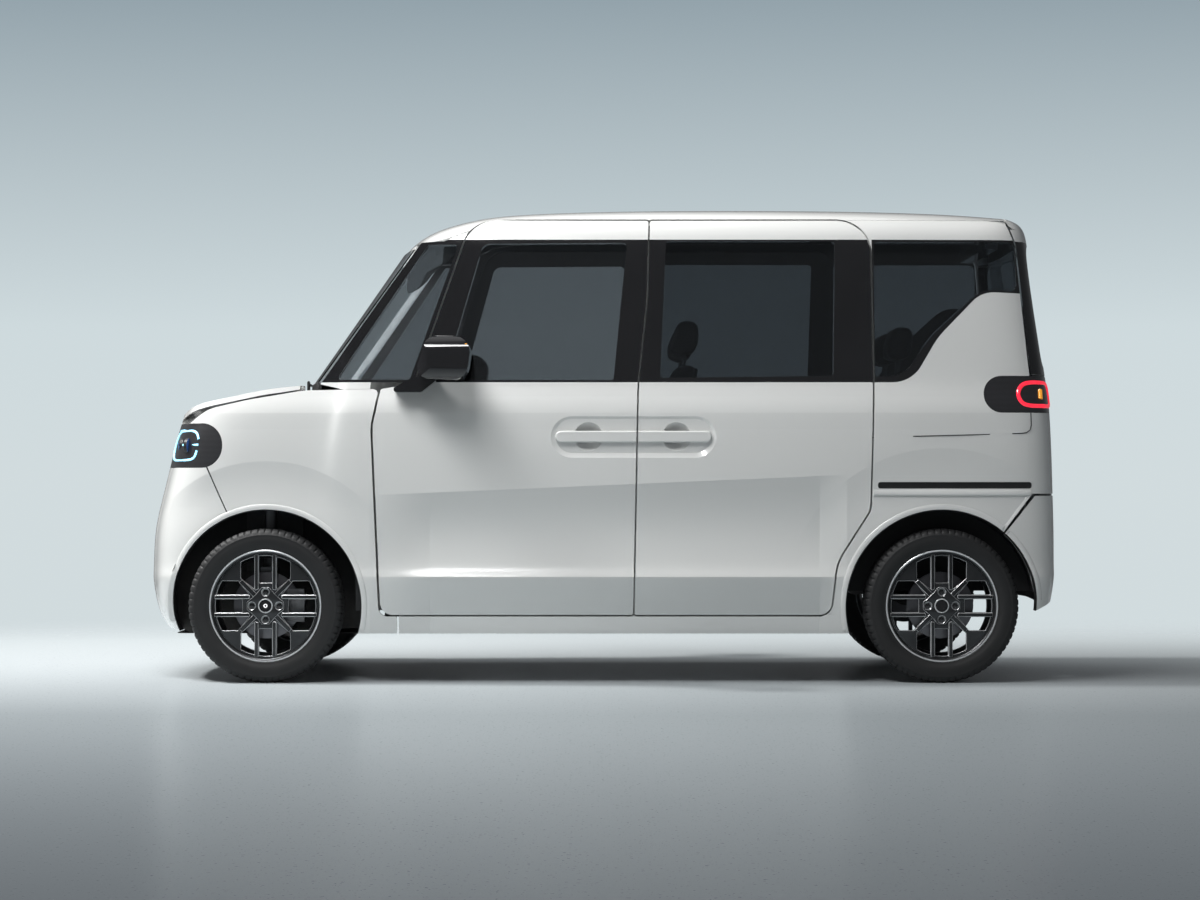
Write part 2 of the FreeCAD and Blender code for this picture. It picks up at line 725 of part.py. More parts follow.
# Windscreen: a sheet bowed in plan, from the cowl to the roof's front edge
screen_base_shares = (1.0795, 1.003)
screen_top_shares = (1.2190, 1.730)
screen_bows = (66.0, 78.0)
screen_thick = 6.0
screen_half_shares = (0.935, 0.815)
screen_across_shares = [0, 0.3, 0.6, 0.85, 1.0]
screen_up_shares = [0, 0.33, 0.66, 1.0]


def between(pair, share):
    return pair[0] * (1 - share) + pair[1] * share


def windscreen_left():
    stations = [station(s) for s in (screen_base_shares[0], screen_top_shares[0])]
    levels = [level(h) for h in (screen_base_shares[1], screen_top_shares[1])]
    rows = []
    for up in screen_up_shares:
        half = half_width * between(screen_half_shares, up)
        rows.append([V(between(stations, up) - screen_thick - between(screen_bows, up) * (1 - across ** 2),
                       -across * half, between(levels, up)) for across in screen_across_shares])
    return net_surface(rows).toShape().extrude(V(screen_thick, 0, 0))


# A line bowed in plan, as corners for a plan outline
bow_shares = [-1.0, -0.8, -0.6, -0.4, -0.2, 0, 0.2, 0.4, 0.6, 0.8, 1.0]


def bowed(x, bow, half):
    return [(x - bow * (1 - t * t), t * half, 0) for t in bow_shares]


# One row across the middle of the body, falling away to the side
def field_row(x, top, drops):
    return [V(x, -across * half_width, top - drop * belt_height) for across, drop in drops]


# Bonnet: height along the middle, trimmed to the nose's own sides
bonnet_line_shares = [
    (0.150, 0.855), (0.205, 0.868), (0.320, 0.908), (0.470, 0.937), (0.700, 0.9560), (0.907, 0.975),
    (1.010, 0.988), (1.050, 0.995),
]
bonnet_drop_shares = [(0, 0), (0.35, 0.001), (0.65, 0.002), (0.82, 0.004), (0.92, 0.006), (1.02, 0.010)]
bonnet_thick = 18.0
bonnet_rear_share = 1.0640
bonnet_rear = station(bonnet_rear_share)
bonnet_rear_bow = 85.0
bonnet_bow_half = 640.0
bonnet_seat_half = 620.0
bonnet_hinge_inset = 40.0
bonnet_hinge_share = 0.9830
bonnet_hinge_x = bonnet_rear - bonnet_hinge_inset
bonnet_hinge_z = level(bonnet_hinge_share)
bonnet_hinge_half = 570.0
bonnet_pin = 4.0
bonnet_arm = 6.0


def bonnet_panel():
    rows = [field_row(station(s), level(h), bonnet_drop_shares) for s, h in bonnet_line_shares]
    sheet = net_surface(rows).toShape().extrude(V(0, 0, -bonnet_thick))
    inside = nose_face.extrude(V(reach, 0, 0))
    sheet = sheet.common(inside)
    rear = bowed(bonnet_rear, bonnet_rear_bow, bonnet_bow_half)
    rear = [(bonnet_rear, -reach, 0)] + rear + [(bonnet_rear, reach, 0), (front_end - overrun, reach, 0),
                                                (front_end - overrun, -reach, 0)]
    sheet = sheet.common(plan_prism(rear, 0, body_height))
    sheet = sheet.cut(side_prism(fender, -reach, -bonnet_seat_half, panel_gap))
    sheet = sheet.cut(side_prism(headlamp, -reach, -headlamp_inner + panel_gap, panel_gap))
    knuckle = rod(bonnet_axis(-bonnet_arm * 5), bonnet_axis(bonnet_arm * 5), bonnet_thick * 0.55)
    sheet = sheet.fuse(knuckle)
    bore = rod(bonnet_axis(-bonnet_arm * 6), bonnet_axis(bonnet_arm * 6), bonnet_pin + pin_clearance)
    slot = block(bonnet_hinge_x - bonnet_thick, bonnet_rear + overrun, -bonnet_hinge_half - bonnet_arm * 2,
                 -bonnet_hinge_half + bonnet_arm * 2, 0, body_height)
    return whole(sheet.cut([bore, slot]))


def bonnet_axis(across):
    return V(bonnet_hinge_x, -bonnet_hinge_half + across, bonnet_hinge_z)


def bonnet_hinge_arm():
    pin = rod(bonnet_axis(-bonnet_arm * 4), bonnet_axis(bonnet_arm * 4), bonnet_pin)
    arm = block(bonnet_hinge_x - bonnet_arm, bonnet_hinge_x + bonnet_arm, -bonnet_hinge_half - bonnet_arm,
                -bonnet_hinge_half + bonnet_arm, cowl_floor, bonnet_hinge_z)
    return pin.fuse(arm)


# The right half, cut from shapes that are made on the left and then mirrored
far_half = block(front_end - overrun, rear_end + overrun, 0, reach, 0, body_height)

# Nose: the front bumper with its grille mouth, and the lamps set in its corners
bumper_wall = 32.0
lamp_wall = 70.0
headlamp_inner = 425.0
grille_shares = [(-0.1, 0.395, 0.0), (0.58, 0.395, 0.35), (0.50, 0.268, 0.35), (-0.1, 0.268, 0.0)]
bumper_top_share = 0.836


def front_bumper_panel():
    skin = nose_face.extrude(V(bumper_wall, bumper_wall, 0)).cut(far_half)
    skin = skin.common(side_prism(front_bumper, -reach, overrun))
    skin = skin.cut(side_prism(headlamp, -reach, -headlamp_inner, joint_gap))
    skin = skin.cut(wheel_space(front_axle, arch_radius, -reach, 0))
    skin = skin.cut(side_prism(fender, -reach, 0, joint_gap))
    skin = skin.cut(block(front_end - overrun, front_axle, -reach, overrun, level(bumper_top_share), body_height))
    return whole(skin.cut(grille_mouth(0)))


def grille_mouth(margin):
    corners = [(-s * half_width, level(h), r * round_unit) for s, h, r in grille_shares]
    return rear_prism(corners, front_end - overrun, front_end + front_overhang / 2, margin)


# Grille: a lattice following the nose behind the mouth
grille_back = 14.0
grille_thick = 10.0
grille_pitch = 27.0
grille_slot_width = 70.0
grille_bar_width = 7.0


def grille_lattice():
    back = nose_face.copy()
    back.translate(V(grille_back, grille_back, 0))
    sheet = back.extrude(V(grille_thick, grille_thick, 0)).cut(far_half)
    sheet = sheet.common(grille_mouth(-fit_gap))
    low, high = level(grille_shares[2][1]), level(grille_shares[1][1])
    slots = []
    z = low + grille_bar_width
    while z + grille_pitch - grille_bar_width < high:
        y = -grille_shares[1][0] * half_width
        while y < -grille_slot_width:
            slots.append(block(front_end - overrun, 0, y, y + grille_slot_width - grille_bar_width, z,
                               z + grille_pitch - grille_bar_width))
            y += grille_slot_width
        z += grille_pitch
    return whole(sheet.cut(slots))


def headlamp_left():
    body = nose_face.extrude(V(lamp_wall, lamp_wall, 0))
    return body.common(side_prism(headlamp, -reach, -headlamp_inner - joint_gap))


def rear_bumper_panel():
    skin = tail_face.extrude(V(-bumper_wall, bumper_wall, 0)).cut(far_half)
    skin = skin.common(side_prism(rear_bumper, -reach, overrun))
    skin = skin.cut(wheel_space(rear_axle, arch_radius, -reach, 0))
    gate = rear_prism(gate_low_corners(), 0, rear_end + overrun, panel_gap)
    return whole(skin.cut(gate))


# Tailgate: full width beside its glass, narrower between the lamps
gate_bottom_share = 0.462
gate_waist_share = 1.020
gate_wall = 40.0
gate_glass_shares = [
    (-0.1, 1.760, 0.0), (0.735, 1.760, 0.60), (0.800, 1.075, 0.50), (-0.1, 1.075, 0.0),
]


def gate_low_corners():
    low = level(gate_bottom_share)
    return [(overrun, low, 0), (-gate_half, low, round_unit * 0.4), (-gate_half, belt_height, 0),
            (overrun, belt_height, 0)]


def gate_corners():
    low, waist, top = level(gate_bottom_share), level(gate_waist_share), body_height + overrun
    return [(overrun, low, 0), (-gate_half, low, round_unit * 0.4), (-gate_half, waist, 0),
            (-reach, waist, 0), (-reach, top, 0), (overrun, top, 0)]


def tailgate_panel():
    skin = tail_face.extrude(V(-gate_wall, gate_wall, 0)).cut(far_half)
    skin = skin.common(side_prism(on_body(tailgate_side_shares), -reach, overrun))
    skin = skin.common(rear_prism(gate_corners(), 0, rear_end + overrun))
    skin = skin.cut(side_prism(tail_lamp, -reach, -gate_half, panel_gap))
    skin = skin.cut(gate_window(0))
    top = tail_face.extrude(V(-gate_top_depth, 0, 0))
    foot = gate_hinge_z - gate_top_depth / 3
    top = top.common(block(station(tailgate_side_shares[0][0]), rear_end, -gate_half, 0, foot, body_height))
    skin = skin.fuse(top)
    for shape in gate_hinge_room() + gate_sash_room():
        skin = skin.cut(shape)
    return whole(skin)


# Dark cover around the tailgate's window, and the recess for the number plate
gate_sash_shares = (1.775, 1.045)
plate_shares = [(-0.1, 0.715, 0.0), (0.275, 0.715, 0.25), (0.250, 0.520, 0.25), (-0.1, 0.520, 0.0)]
plate_depth = 7.0
plate_hole_half = 105.0
plate_hole_radius = 3.0
plate_hole_depth = 22.0
plate_hole_share = 0.660
plate_hole_z = level(plate_hole_share)


def gate_sash(depth, top, low):
    sheet = tail_face.extrude(V(-depth, depth, 0)).cut(far_half)
    sheet = sheet.common(side_prism(on_body(tailgate_side_shares), -reach, overrun))
    return sheet.common(block(tail_start, rear_end + overrun, -reach, 0, low, top))


def tailgate_cover():
    top, low = [level(h) for h in gate_sash_shares]
    return whole(gate_sash(sash_thick, top, low).cut(gate_window(0)))


def gate_sash_room():
    top, low = [level(h) for h in gate_sash_shares]
    room = gate_sash(sash_thick + fit_gap, top + fit_gap, low - fit_gap)
    plate = [(-s * half_width, level(h), r * round_unit) for s, h, r in plate_shares]
    plate = tail_face.extrude(V(-plate_depth, 0, 0)).common(rear_prism(plate, tail_start, rear_end + overrun))
    hole = rod(V(rear_end - plate_hole_depth, -plate_hole_half, plate_hole_z),
               V(rear_end + overrun, -plate_hole_half, plate_hole_z), plate_hole_radius)
    return [room, plate, hole]


def gate_window(margin):
    corners = [(-s * half_width, level(h), r * round_unit) for s, h, r in gate_glass_shares]
    return rear_prism(corners, tail_start, rear_end + overrun, margin)


def tailgate_glass_pane():
    face = tail_face.copy()
    face.translate(V(-glass_depth, glass_depth, 0))
    pane = face.extrude(V(-glass_thick, glass_thick, 0)).cut(far_half)
    return whole(pane.common(gate_window(-fit_gap)))


tail_lamp_depth = 60.0


def tail_lamp_left():
    body = tail_face.extrude(V(-tail_lamp_depth, tail_lamp_depth, 0))
    body = body.common(block(0, rear_end + overrun, -reach, -gate_half - panel_gap, 0, body_height))
    return body.common(side_prism(tail_lamp, -reach, -tail_lamp_inner - joint_gap))



# Wheels: local shapes about the Y axis, with the outer side towards -Y
def turned(profile):
    points = [V(r, y, 0) for r, y in profile]
    face = Part.Face(Part.makePolygon(points + points[:1]))
    return face.revolve(V(0, 0, 0), V(0, 1, 0), 360)


bead_radius = 197.0
tread_flat_share = 0.72
sidewall_share = 0.80
shoulder_share = 0.955
rim_lip = 8.0
rim_shell = 7.0
rim_half = 74.0
disc_face = 62.0
disc_back = 38.0
hub_radius = 74.0
spindle_radius = 20.0
spindle_length = 56.0
running_gap = 0.05
lug_circle = 50.0
lug_radius = 8.5
lug_pocket = 15.0
lug_height = 14.0
cap_radius = 27.0
brake_radius = 122.0
brake_half = 9.0
# Windows of one arm, as shares of the rim's inside radius: a middle slot and one beside it
slot_shares = [(-0.13, 0.50, 0.08), (0.13, 0.50, 0.08), (0.13, 1.10, 0.08), (-0.13, 1.10, 0.08)]
side_window_shares = [(0.23, 0.46, 0.06), (0.45, 0.54, 0.10), (0.50, 0.62, 0.06), (0.50, 1.10, 0.06),
                      (0.23, 1.10, 0.06)]


def tyre_shape():
    half = tyre_width / 2
    side = bead_radius + (tyre_radius - bead_radius) * 0.5
    shoulder = tyre_radius * shoulder_share
    flat = half * tread_flat_share
    profile = [(bead_radius, -half * sidewall_share), (side, -half), (shoulder, -half * 0.93),
               (tyre_radius, -flat), (tyre_radius, flat), (shoulder, half * 0.93), (side, half),
               (bead_radius, half * sidewall_share)]
    return turned(profile)


def window_cutter(shares, inner, flip=1):
    corners = [(flip * x * inner, z * inner, r * inner) for x, z, r in shares]
    return side_prism(corners, -disc_face - overrun, -disc_back + overrun)


def wheel_shape():
    barrel = bead_radius - fit_gap
    inner = barrel - rim_shell
    lip = barrel + rim_lip
    edge = rim_half - rim_lip / 2
    shell = turned([(inner, -rim_half), (lip, -rim_half), (lip, -edge), (barrel, -edge), (barrel, edge),
                    (lip, edge), (lip, rim_half), (inner, rim_half)])
    plate = rod(V(0, -disc_face, 0), V(0, -disc_back, 0), inner + rim_shell / 2)
    limit = rod(V(0, -disc_face - overrun, 0), V(0, overrun, 0), inner - rim_shell)
    cutters = []
    for quarter in range(4):
        shapes = [window_cutter(slot_shares, inner), window_cutter(side_window_shares, inner),
                  window_cutter(side_window_shares, inner, -1)]
        for shape in shapes:
            cutter = shape.common(limit)
            cutter.rotate(V(0, 0, 0), V(0, 1, 0), 90 * quarter)
            cutters.append(cutter)
    for turn in range(4):
        angle = math.radians(90 * turn)
        x, z = lug_circle * math.cos(angle), lug_circle * math.sin(angle)
        cutters.append(rod(V(x, -disc_face - overrun, z), V(x, -disc_face + lug_height, z), lug_pocket))
    plate = plate.cut(cutters)
    hub = rod(V(0, -disc_back, 0), V(0, brake_half * 2, 0), hub_radius)
    cap = rod(V(0, -disc_face - rim_lip / 2, 0), V(0, -disc_face, 0), cap_radius)
    brake = rod(V(0, -brake_half, 0), V(0, brake_half, 0), brake_radius)
    nuts = []
    for turn in range(4):
        angle = math.radians(90 * turn)
        x, z = lug_circle * math.cos(angle), lug_circle * math.sin(angle)
        nuts.append(rod(V(x, -disc_face + rim_lip / 2, z), V(x, -disc_face + lug_height, z), lug_radius))
    wheel = shell.fuse([plate, hub, cap, brake] + nuts).removeSplitter()
    bore = rod(V(0, brake_half * 2 - spindle_length - running_gap, 0), V(0, overrun, 0),
               spindle_radius + running_gap)
    return wheel.cut(bore)


def on_axle(shape, axle):
    moved = shape.copy()
    moved.translate(V(axle, -track_half, hub_height))
    return moved


# Front knuckle with its strut, turning about a leaning axis
ball_half = 585.0
ball_height = 188.0
mount_half = 505.0
mount_height = 858.0
carrier_radius = 52.0
carrier_thick = 30.0
lug_size = 26.0
strut_radius = 25.0
strut_rod = 10.0
caliper_width = 60.0
caliper_span = 62.0
strut_foot = V(front_axle, -524.0, 420.0)
ball = V(front_axle, -ball_half, ball_height)
mount = V(front_axle, -mount_half, mount_height)
steer_line = (mount - ball).normalize()


def along(distance):
    return ball + steer_line * distance


def spindle(axle):
    face = -track_half + brake_half * 2
    shaft = rod(V(axle, face - spindle_length, hub_height), V(axle, face + carrier_thick, hub_height),
                spindle_radius)
    plate = rod(V(axle, face + fit_gap * 2, hub_height), V(axle, face + carrier_thick, hub_height),
                carrier_radius)
    return shaft.fuse(plate)


def caliper(axle):
    low = -track_half - brake_half * 2 - fit_gap * 2
    high = -track_half + brake_half * 2 + carrier_thick
    x = axle + brake_radius * 0.62
    body = block(x, x + caliper_span, low, high, hub_height - caliper_width, hub_height + caliper_width)
    slot = rod(V(axle, -track_half - brake_half - panel_gap, hub_height),
               V(axle, -track_half + brake_half + panel_gap, hub_height), brake_radius + panel_gap)
    ring = rod(V(axle, -reach, hub_height), V(axle, 0, hub_height), hub_radius + panel_gap)
    return body.cut([slot, ring])


def knuckle_left():
    face = -track_half + brake_half * 2
    top = along(strut_rise)
    carrier = spindle(front_axle)
    bridge = block(front_axle - lug_size, front_axle + brake_radius * 0.7, face + fit_gap * 2,
                   face + carrier_thick, hub_height - lug_size, hub_height + lug_size)
    foot = block(front_axle - lug_size, front_axle + lug_size, -ball_half - lug_size, face + carrier_thick,
                 ball_height + pin_rise, hub_height)
    foot = foot.fuse(block(front_axle - lug_size, front_axle + lug_size, -ball_half - lug_size,
                           -ball_half + lug_size, ball_height + pin_rise, hub_height))
    neck = block(front_axle - lug_size, front_axle + lug_size, face + fit_gap * 2, strut_foot.y + strut_radius,
                 hub_height, strut_foot.z)
    tube = rod(strut_foot - V(0, 0, strut_radius * 2), top, strut_radius)
    piston = rod(top, mount, strut_rod)
    knuckle = carrier.fuse([bridge, foot, neck, tube, piston, caliper(front_axle)]).removeSplitter()
    socket = rod(along(-overrun), along(socket_depth), ball_pin + running_gap)
    knuckle = knuckle.cut(socket)
    tyre_room = rod(V(front_axle, -reach, hub_height), V(front_axle, -track_half + tyre_width / 2 + panel_gap,
                    hub_height), tyre_radius + overrun)
    rim_room = rod(V(front_axle, -reach, hub_height), V(front_axle, 0, hub_height),
                   bead_radius - rim_shell - panel_gap * 2)
    return knuckle.cut(tyre_room.cut(rim_room))


strut_rise = 470.0
pin_rise = 14.0
socket_depth = 46.0
ball_pin = 9.0

# Front chassis: rails, bumper beam, towers, lower arms and radiator
rail_in = 312.0
rail_out = 384.0
rail_low = 400.0
rail_high = 500.0
nose_beam_share = 0.155
nose_beam = station(nose_beam_share)
sheet = 10.0
tower_half_length = 105.0
tower_outer = 610.0
apron_low = 870.0
arm_low = 176.0
arm_round = 20.0
beam_half = 420.0
radiator_height = 700.0
radiator_thick = 44.0


def front_chassis_left():
    rail = block(nose_beam + radiator_thick, front_wall, -rail_out, -rail_in, rail_low, rail_high)
    beam = block(nose_beam, nose_beam + radiator_thick, -beam_half, 0, rail_low, rail_high)
    radiator = block(nose_beam + radiator_thick, nose_beam + radiator_thick * 2, -rail_in, 0,
                     rail_low * 0.7, radiator_height)
    wall = block(front_axle - tower_half_length, front_axle + tower_half_length, -rail_out - sheet,
                 -rail_out + sheet, rail_low, mount_height)
    top = block(front_axle - tower_half_length, front_axle + tower_half_length, -tower_outer, -rail_out,
                mount_height - sheet, mount_height + sheet)
    apron = block(front_axle - tower_half_length * 1.4, front_wall, -tower_outer, -tower_outer + sheet * 4,
                  apron_low - sheet * 2, apron_low + sheet * 4)
    subframe = block(front_axle - sheet * 5, front_axle + tower_half_length * 1.6, -rail_in - sheet * 2, 0,
                     arm_low + sheet, arm_low + sheet * 6)
    riser = block(front_axle + sheet * 3, front_axle + sheet * 10, -rail_in - sheet, -rail_in + sheet,
                  arm_low + sheet * 5, rail_low)
    tip = -ball_half - lug_size
    arm = [(front_axle - lug_size, tip, arm_round), (front_axle + lug_size, tip, arm_round),
           (front_axle + tower_half_length, -rail_in, 0), (front_axle - tower_half_length * 0.5, -rail_in, 0)]
    arm = plan_prism(arm, arm_low, ball_height)
    pin = rod(along(-sheet), along(socket_depth - fit_gap), ball_pin)
    half = rail.fuse([beam, radiator, wall, top, apron, subframe, riser, arm, pin])
    bore = rod(mount - steer_line * overrun, mount + steer_line * overrun, strut_rod + running_gap)
    return half.cut(bore)


def front_liner_left():
    outer = liner_radius
    shell = wheel_space(front_axle, outer, -liner_outer, -liner_inner)
    shell = shell.cut(wheel_space(front_axle, outer - sheet * 0.6, -reach, 0))
    shell = shell.cut(block(front_axle - reach, front_axle + reach, -reach, 0, -reach, hub_height))
    shell = shell.cut(block(front_wall - fit_gap, front_axle + reach, -reach, 0, 0, body_height))
    shell = shell.cut(nose_face.extrude(V(bumper_wall + panel_gap, bumper_wall + panel_gap, 0)))
    return max(shell.Solids, key=lambda solid: solid.Volume)


liner_radius = 366.0
liner_outer = 650.0
liner_inner = 560.0

# Floor: one folded sheet from the toe board to the rear sill
floor_sheet_shares = [
    (1.1332, 0.915), (1.1332, 0.262), (1.8300, 0.262), (1.8560, 0.437), (2.7900, 0.437),
]
floor_top_shares = [
    (2.7900, 0.457), (1.8500, 0.457), (1.8240, 0.284), (1.1420, 0.284), (1.1420, 0.915),
]


def floor_sheet():
    corners = on_body([(s, h, 0) for s, h in floor_sheet_shares + floor_top_shares])
    sheet_solid = side_prism(corners, -cabin_half, cabin_half)
    for side in (-1, 1):
        tub = rod(V(rear_axle, side * tub_inner, hub_height), V(rear_axle, side * reach, hub_height),
                  tub_radius + tub_wall)
        sheet_solid = sheet_solid.cut(tub)
        near, far = sorted((side * pillar_half, side * reach))
        sheet_solid = sheet_solid.cut(block(front_wall - overrun, hinge_x, near, far, 0, body_height))
    return sheet_solid.fuse(whole(rear_beam_left())).removeSplitter()


# Rear cross member: follows the inside of the bumper, which rests on it
beam_depth = 76.0
rear_beam_half = 480.0
rear_beam_low = 410.0


def rear_beam_left():
    seat = bumper_wall + fit_gap
    face = tail_face.copy()
    face.translate(V(-seat, seat, 0))
    beam = face.extrude(V(-beam_depth, 0, 0))
    top = level(floor_top_shares[0][1])
    return beam.common(block(tail_start, rear_end, -rear_beam_half, 0, rear_beam_low, top))


battery_half = 475.0
battery_depth = 118.0
battery_shares = (1.27, 1.78)


def battery_block():
    top = level(floor_sheet_shares[1][1])
    front, rear = [station(s) for s in battery_shares]
    return block(front, rear, -battery_half, battery_half, top - battery_depth, top)


# Rear axle: a beam on two trailing arms, with springs and dampers under the floor
beam_radius = 30.0
arm_half_track = 470.0
bush_radius = 32.0
bush_share = 1.880
spring_radius = 52.0
damper_radius = 22.0


def rear_axle_left():
    beam_end = -track_half + brake_half * 2 + carrier_thick
    beam = rod(V(rear_axle, beam_end, hub_height), V(rear_axle, 0, hub_height), beam_radius)
    floor_under = level(floor_sheet_shares[4][1])
    bush_x = station(bush_share)
    bush_z = hub_height + bush_radius * 2
    arm_end = V(rear_axle, -arm_half_track, hub_height)
    arm = rod(V(bush_x, -arm_half_track, bush_z), arm_end, beam_radius * 0.8)
    bush = rod(V(bush_x, -arm_half_track - bush_radius, bush_z),
               V(bush_x, -arm_half_track + bush_radius, bush_z), bush_radius)
    bracket = block(bush_x - bush_radius * 0.6, bush_x + bush_radius * 0.6, -arm_half_track - bush_radius,
                    -arm_half_track + bush_radius, bush_z, floor_under)
    spring = rod(V(rear_axle - spring_radius, -arm_half_track, hub_height), V(rear_axle - spring_radius,
                 -arm_half_track, floor_under), spring_radius)
    damper = rod(V(rear_axle, -arm_half_track, hub_height), V(rear_axle + spring_radius * 3,
                 -arm_half_track, floor_under + overrun), damper_radius)
    damper = damper.cut(block(0, rear_end, -reach, 0, floor_under, body_height))
    return beam.fuse([spindle(rear_axle), arm, bush, bracket, spring, damper])


motor_radius = 125.0
motor_half = 215.0
shaft_radius = 13.0


def drive_unit_block():
    z = hub_height + motor_radius * 0.5
    motor = rod(V(front_axle, -motor_half, z), V(front_axle, motor_half, z), motor_radius)
    inverter = block(front_axle - motor_radius, front_axle + motor_radius * 1.4, -motor_half, motor_half,
                     z, z + motor_radius * 2.6)
    mounts = block(front_axle - motor_radius * 0.4, front_axle + motor_radius * 0.4, -rail_in + fit_gap,
                   rail_in - fit_gap, rail_low + sheet, rail_high - sheet)
    shafts = rod(V(front_axle, -shaft_end, hub_height), V(front_axle, shaft_end, hub_height), shaft_radius)
    unit = motor.fuse([inverter, mounts, shafts])
    room = block(front_axle - reach, front_axle + reach, -reach, reach, 0, arm_low + sheet * 6 + fit_gap)
    return unit.cut(room).removeSplitter()


shaft_end = 480.0


# Cowl: a bowed trough behind the bonnet and a bowed shelf under the windscreen's foot
cowl_rear_share = 1.1180
cowl_rear = station(cowl_rear_share)
cowl_low_share = 0.905
cowl_low = level(cowl_low_share)
cowl_floor_share = 0.930
cowl_floor = level(cowl_floor_share)
cowl_top = level(screen_base_shares[1]) - fit_gap
cowl_wall = 12.0
flange_share = (1.1320, 0.9155)
cowl_half = cabin_half - fit_gap


def cowl_panel():
    front = bowed(bonnet_rear - bonnet_thick * 2, bonnet_rear_bow, bonnet_bow_half)
    back = [(cowl_rear, cowl_half, 0), (cowl_rear, -cowl_half, 0)]
    trough = plan_prism(front + back, cowl_low, cowl_floor)
    shelf_x = station(screen_base_shares[0]) - screen_thick * 2
    shelf = plan_prism(bowed(shelf_x, screen_bows[0], cowl_half) + back, cowl_floor, cowl_top)
    cowl = trough.fuse(shelf).common(block(front_end, cowl_rear, -cowl_half, cowl_half, 0, body_height))
    room = plan_prism(bowed(shelf_x + cowl_wall, screen_bows[0], cowl_half)
                      + [(cowl_rear - cowl_wall, cowl_half, 0), (cowl_rear - cowl_wall, -cowl_half, 0)],
                      0, cowl_top - cowl_wall)
    cowl = cowl.cut(room)
    rear, top = station(flange_share[0]), level(flange_share[1])
    flange = block(cowl_rear - cowl_wall, rear, -cowl_half, cowl_half, cowl_low, top)
    return cowl.fuse([flange] + [both for both in both_sides(bonnet_hinge_arm()).Solids]).removeSplitter()


# Wipers: a post, an arm and a blade along the windscreen's bowed foot
wiper_pivots = (-0.66, 0.06)
wiper_spans = (0.60, 0.56)
wiper_rod = 6.0
wiper_gap = 26.0
wiper_steps = 4


def screen_foot(across, ahead):
    return V(station(screen_base_shares[0]) - ahead - screen_bows[0] * (1 - across ** 2),
             across * half_width * screen_half_shares[0], cowl_top + wiper_rod)


def wiper(pivot, span):
    foot = screen_foot(pivot, wiper_gap)
    post = rod(V(foot.x, foot.y, cowl_floor + fit_gap), foot, wiper_rod)
    points = [screen_foot(pivot + span * k / wiper_steps, wiper_gap) for k in range(wiper_steps + 1)]
    blade = [rod(a, b, wiper_rod * 0.8) for a, b in zip(points, points[1:])]
    return fused(post, *blade)


# Door mirror: a housing on a foot at the door's front corner
mirror_foot_shares = [(1.180, 0.965, 0.1), (1.232, 0.965, 0.1), (1.262, 1.030, 0.1), (1.222, 1.030, 0.1)]
mirror_shell_shares = [
    (1.2245, 1.012, 0.40), (1.3000, 1.005, 0.50), (1.3095, 1.235, 0.60), (1.2420, 1.242, 0.55),
]
mirror_inner = 752.0
mirror_outer = 925.0
mirror_round = 62.0


def mirror_left():
    foot = side_prism(on_body(mirror_foot_shares), -mirror_inner - overrun / 2, -cabin_half)
    shell = side_prism(on_body(mirror_shell_shares), -mirror_outer, -mirror_inner)
    front, rear = station(mirror_shell_shares[0][0]), station(mirror_shell_shares[2][0])
    plan = [(front, -mirror_outer, mirror_round), (rear, -mirror_outer, mirror_round / 4),
            (rear, -mirror_inner, 0), (front, -mirror_inner, mirror_round / 2)]
    shell = shell.common(plan_prism(plan, belt_height, body_height))
    low, high = level(mirror_shell_shares[1][1]), level(mirror_shell_shares[3][1])
    ends = [(-mirror_outer, low, mirror_round * 0.7), (-mirror_inner, low, 0), (-mirror_inner, high, 0),
            (-mirror_outer, high, mirror_round)]
    shell = shell.common(rear_prism(ends, front_end, rear_end))
    return foot.fuse(shell).cut(layer(-fit_gap, wall_depth)).removeSplitter()


# Cabin: seats, dashboard and steering wheel
seat_inner = 75.0
seat_outer = 560.0
cushion_shares = [(1.335, 0.500, 0.3), (1.335, 0.585, 0.6), (1.560, 0.570, 0.3), (1.570, 0.470, 0.3)]
back_shares = [(1.520, 0.560, 0.3), (1.612, 1.130, 0.5), (1.645, 1.130, 0.5), (1.590, 0.520, 0.5)]
head_shares = [(1.600, 1.160, 0.4), (1.612, 1.370, 0.4), (1.650, 1.370, 0.4), (1.642, 1.160, 0.4)]
post_shares = [(1.620, 1.100, 0), (1.622, 1.200, 0), (1.630, 1.200, 0), (1.628, 1.100, 0)]
base_shares = [(1.370, 0.2842, 0), (1.370, 0.505, 0), (1.540, 0.480, 0), (1.540, 0.2842, 0)]
bench_shares = [(1.745, 0.490, 0.3), (1.745, 0.590, 0.6), (1.905, 0.585, 0.3), (1.905, 0.490, 0.3)]
bench_back_shares = [(1.890, 0.540, 0.3), (1.945, 1.100, 0.5), (1.975, 1.100, 0.5), (1.935, 0.500, 0.5)]
bench_head_share = 1.940
bench_base_shares = [(1.770, 0.2842, 0), (1.770, 0.500, 0), (1.900, 0.500, 0), (1.900, 0.4575, 0),
                     (1.8490, 0.4575, 0), (1.8230, 0.2842, 0)]


def slab(shares, inner, outer):
    return side_prism(on_body(shares), inner, outer)


def seat(inner, outer):
    wide = outer - inner
    middle = (inner + outer) / 2
    head = slab(head_shares, middle - wide * 0.26, middle + wide * 0.26)
    posts = slab(post_shares, middle - wide * 0.12, middle + wide * 0.12)
    base = slab(base_shares, inner + wide * 0.1, outer - wide * 0.1)
    return fused(slab(cushion_shares, inner, outer), slab(back_shares, inner + wide * 0.02, outer - wide * 0.02),
                 head, posts, base)


def front_seats_pair():
    left = seat(-seat_outer, -seat_inner)
    return both_sides(left)


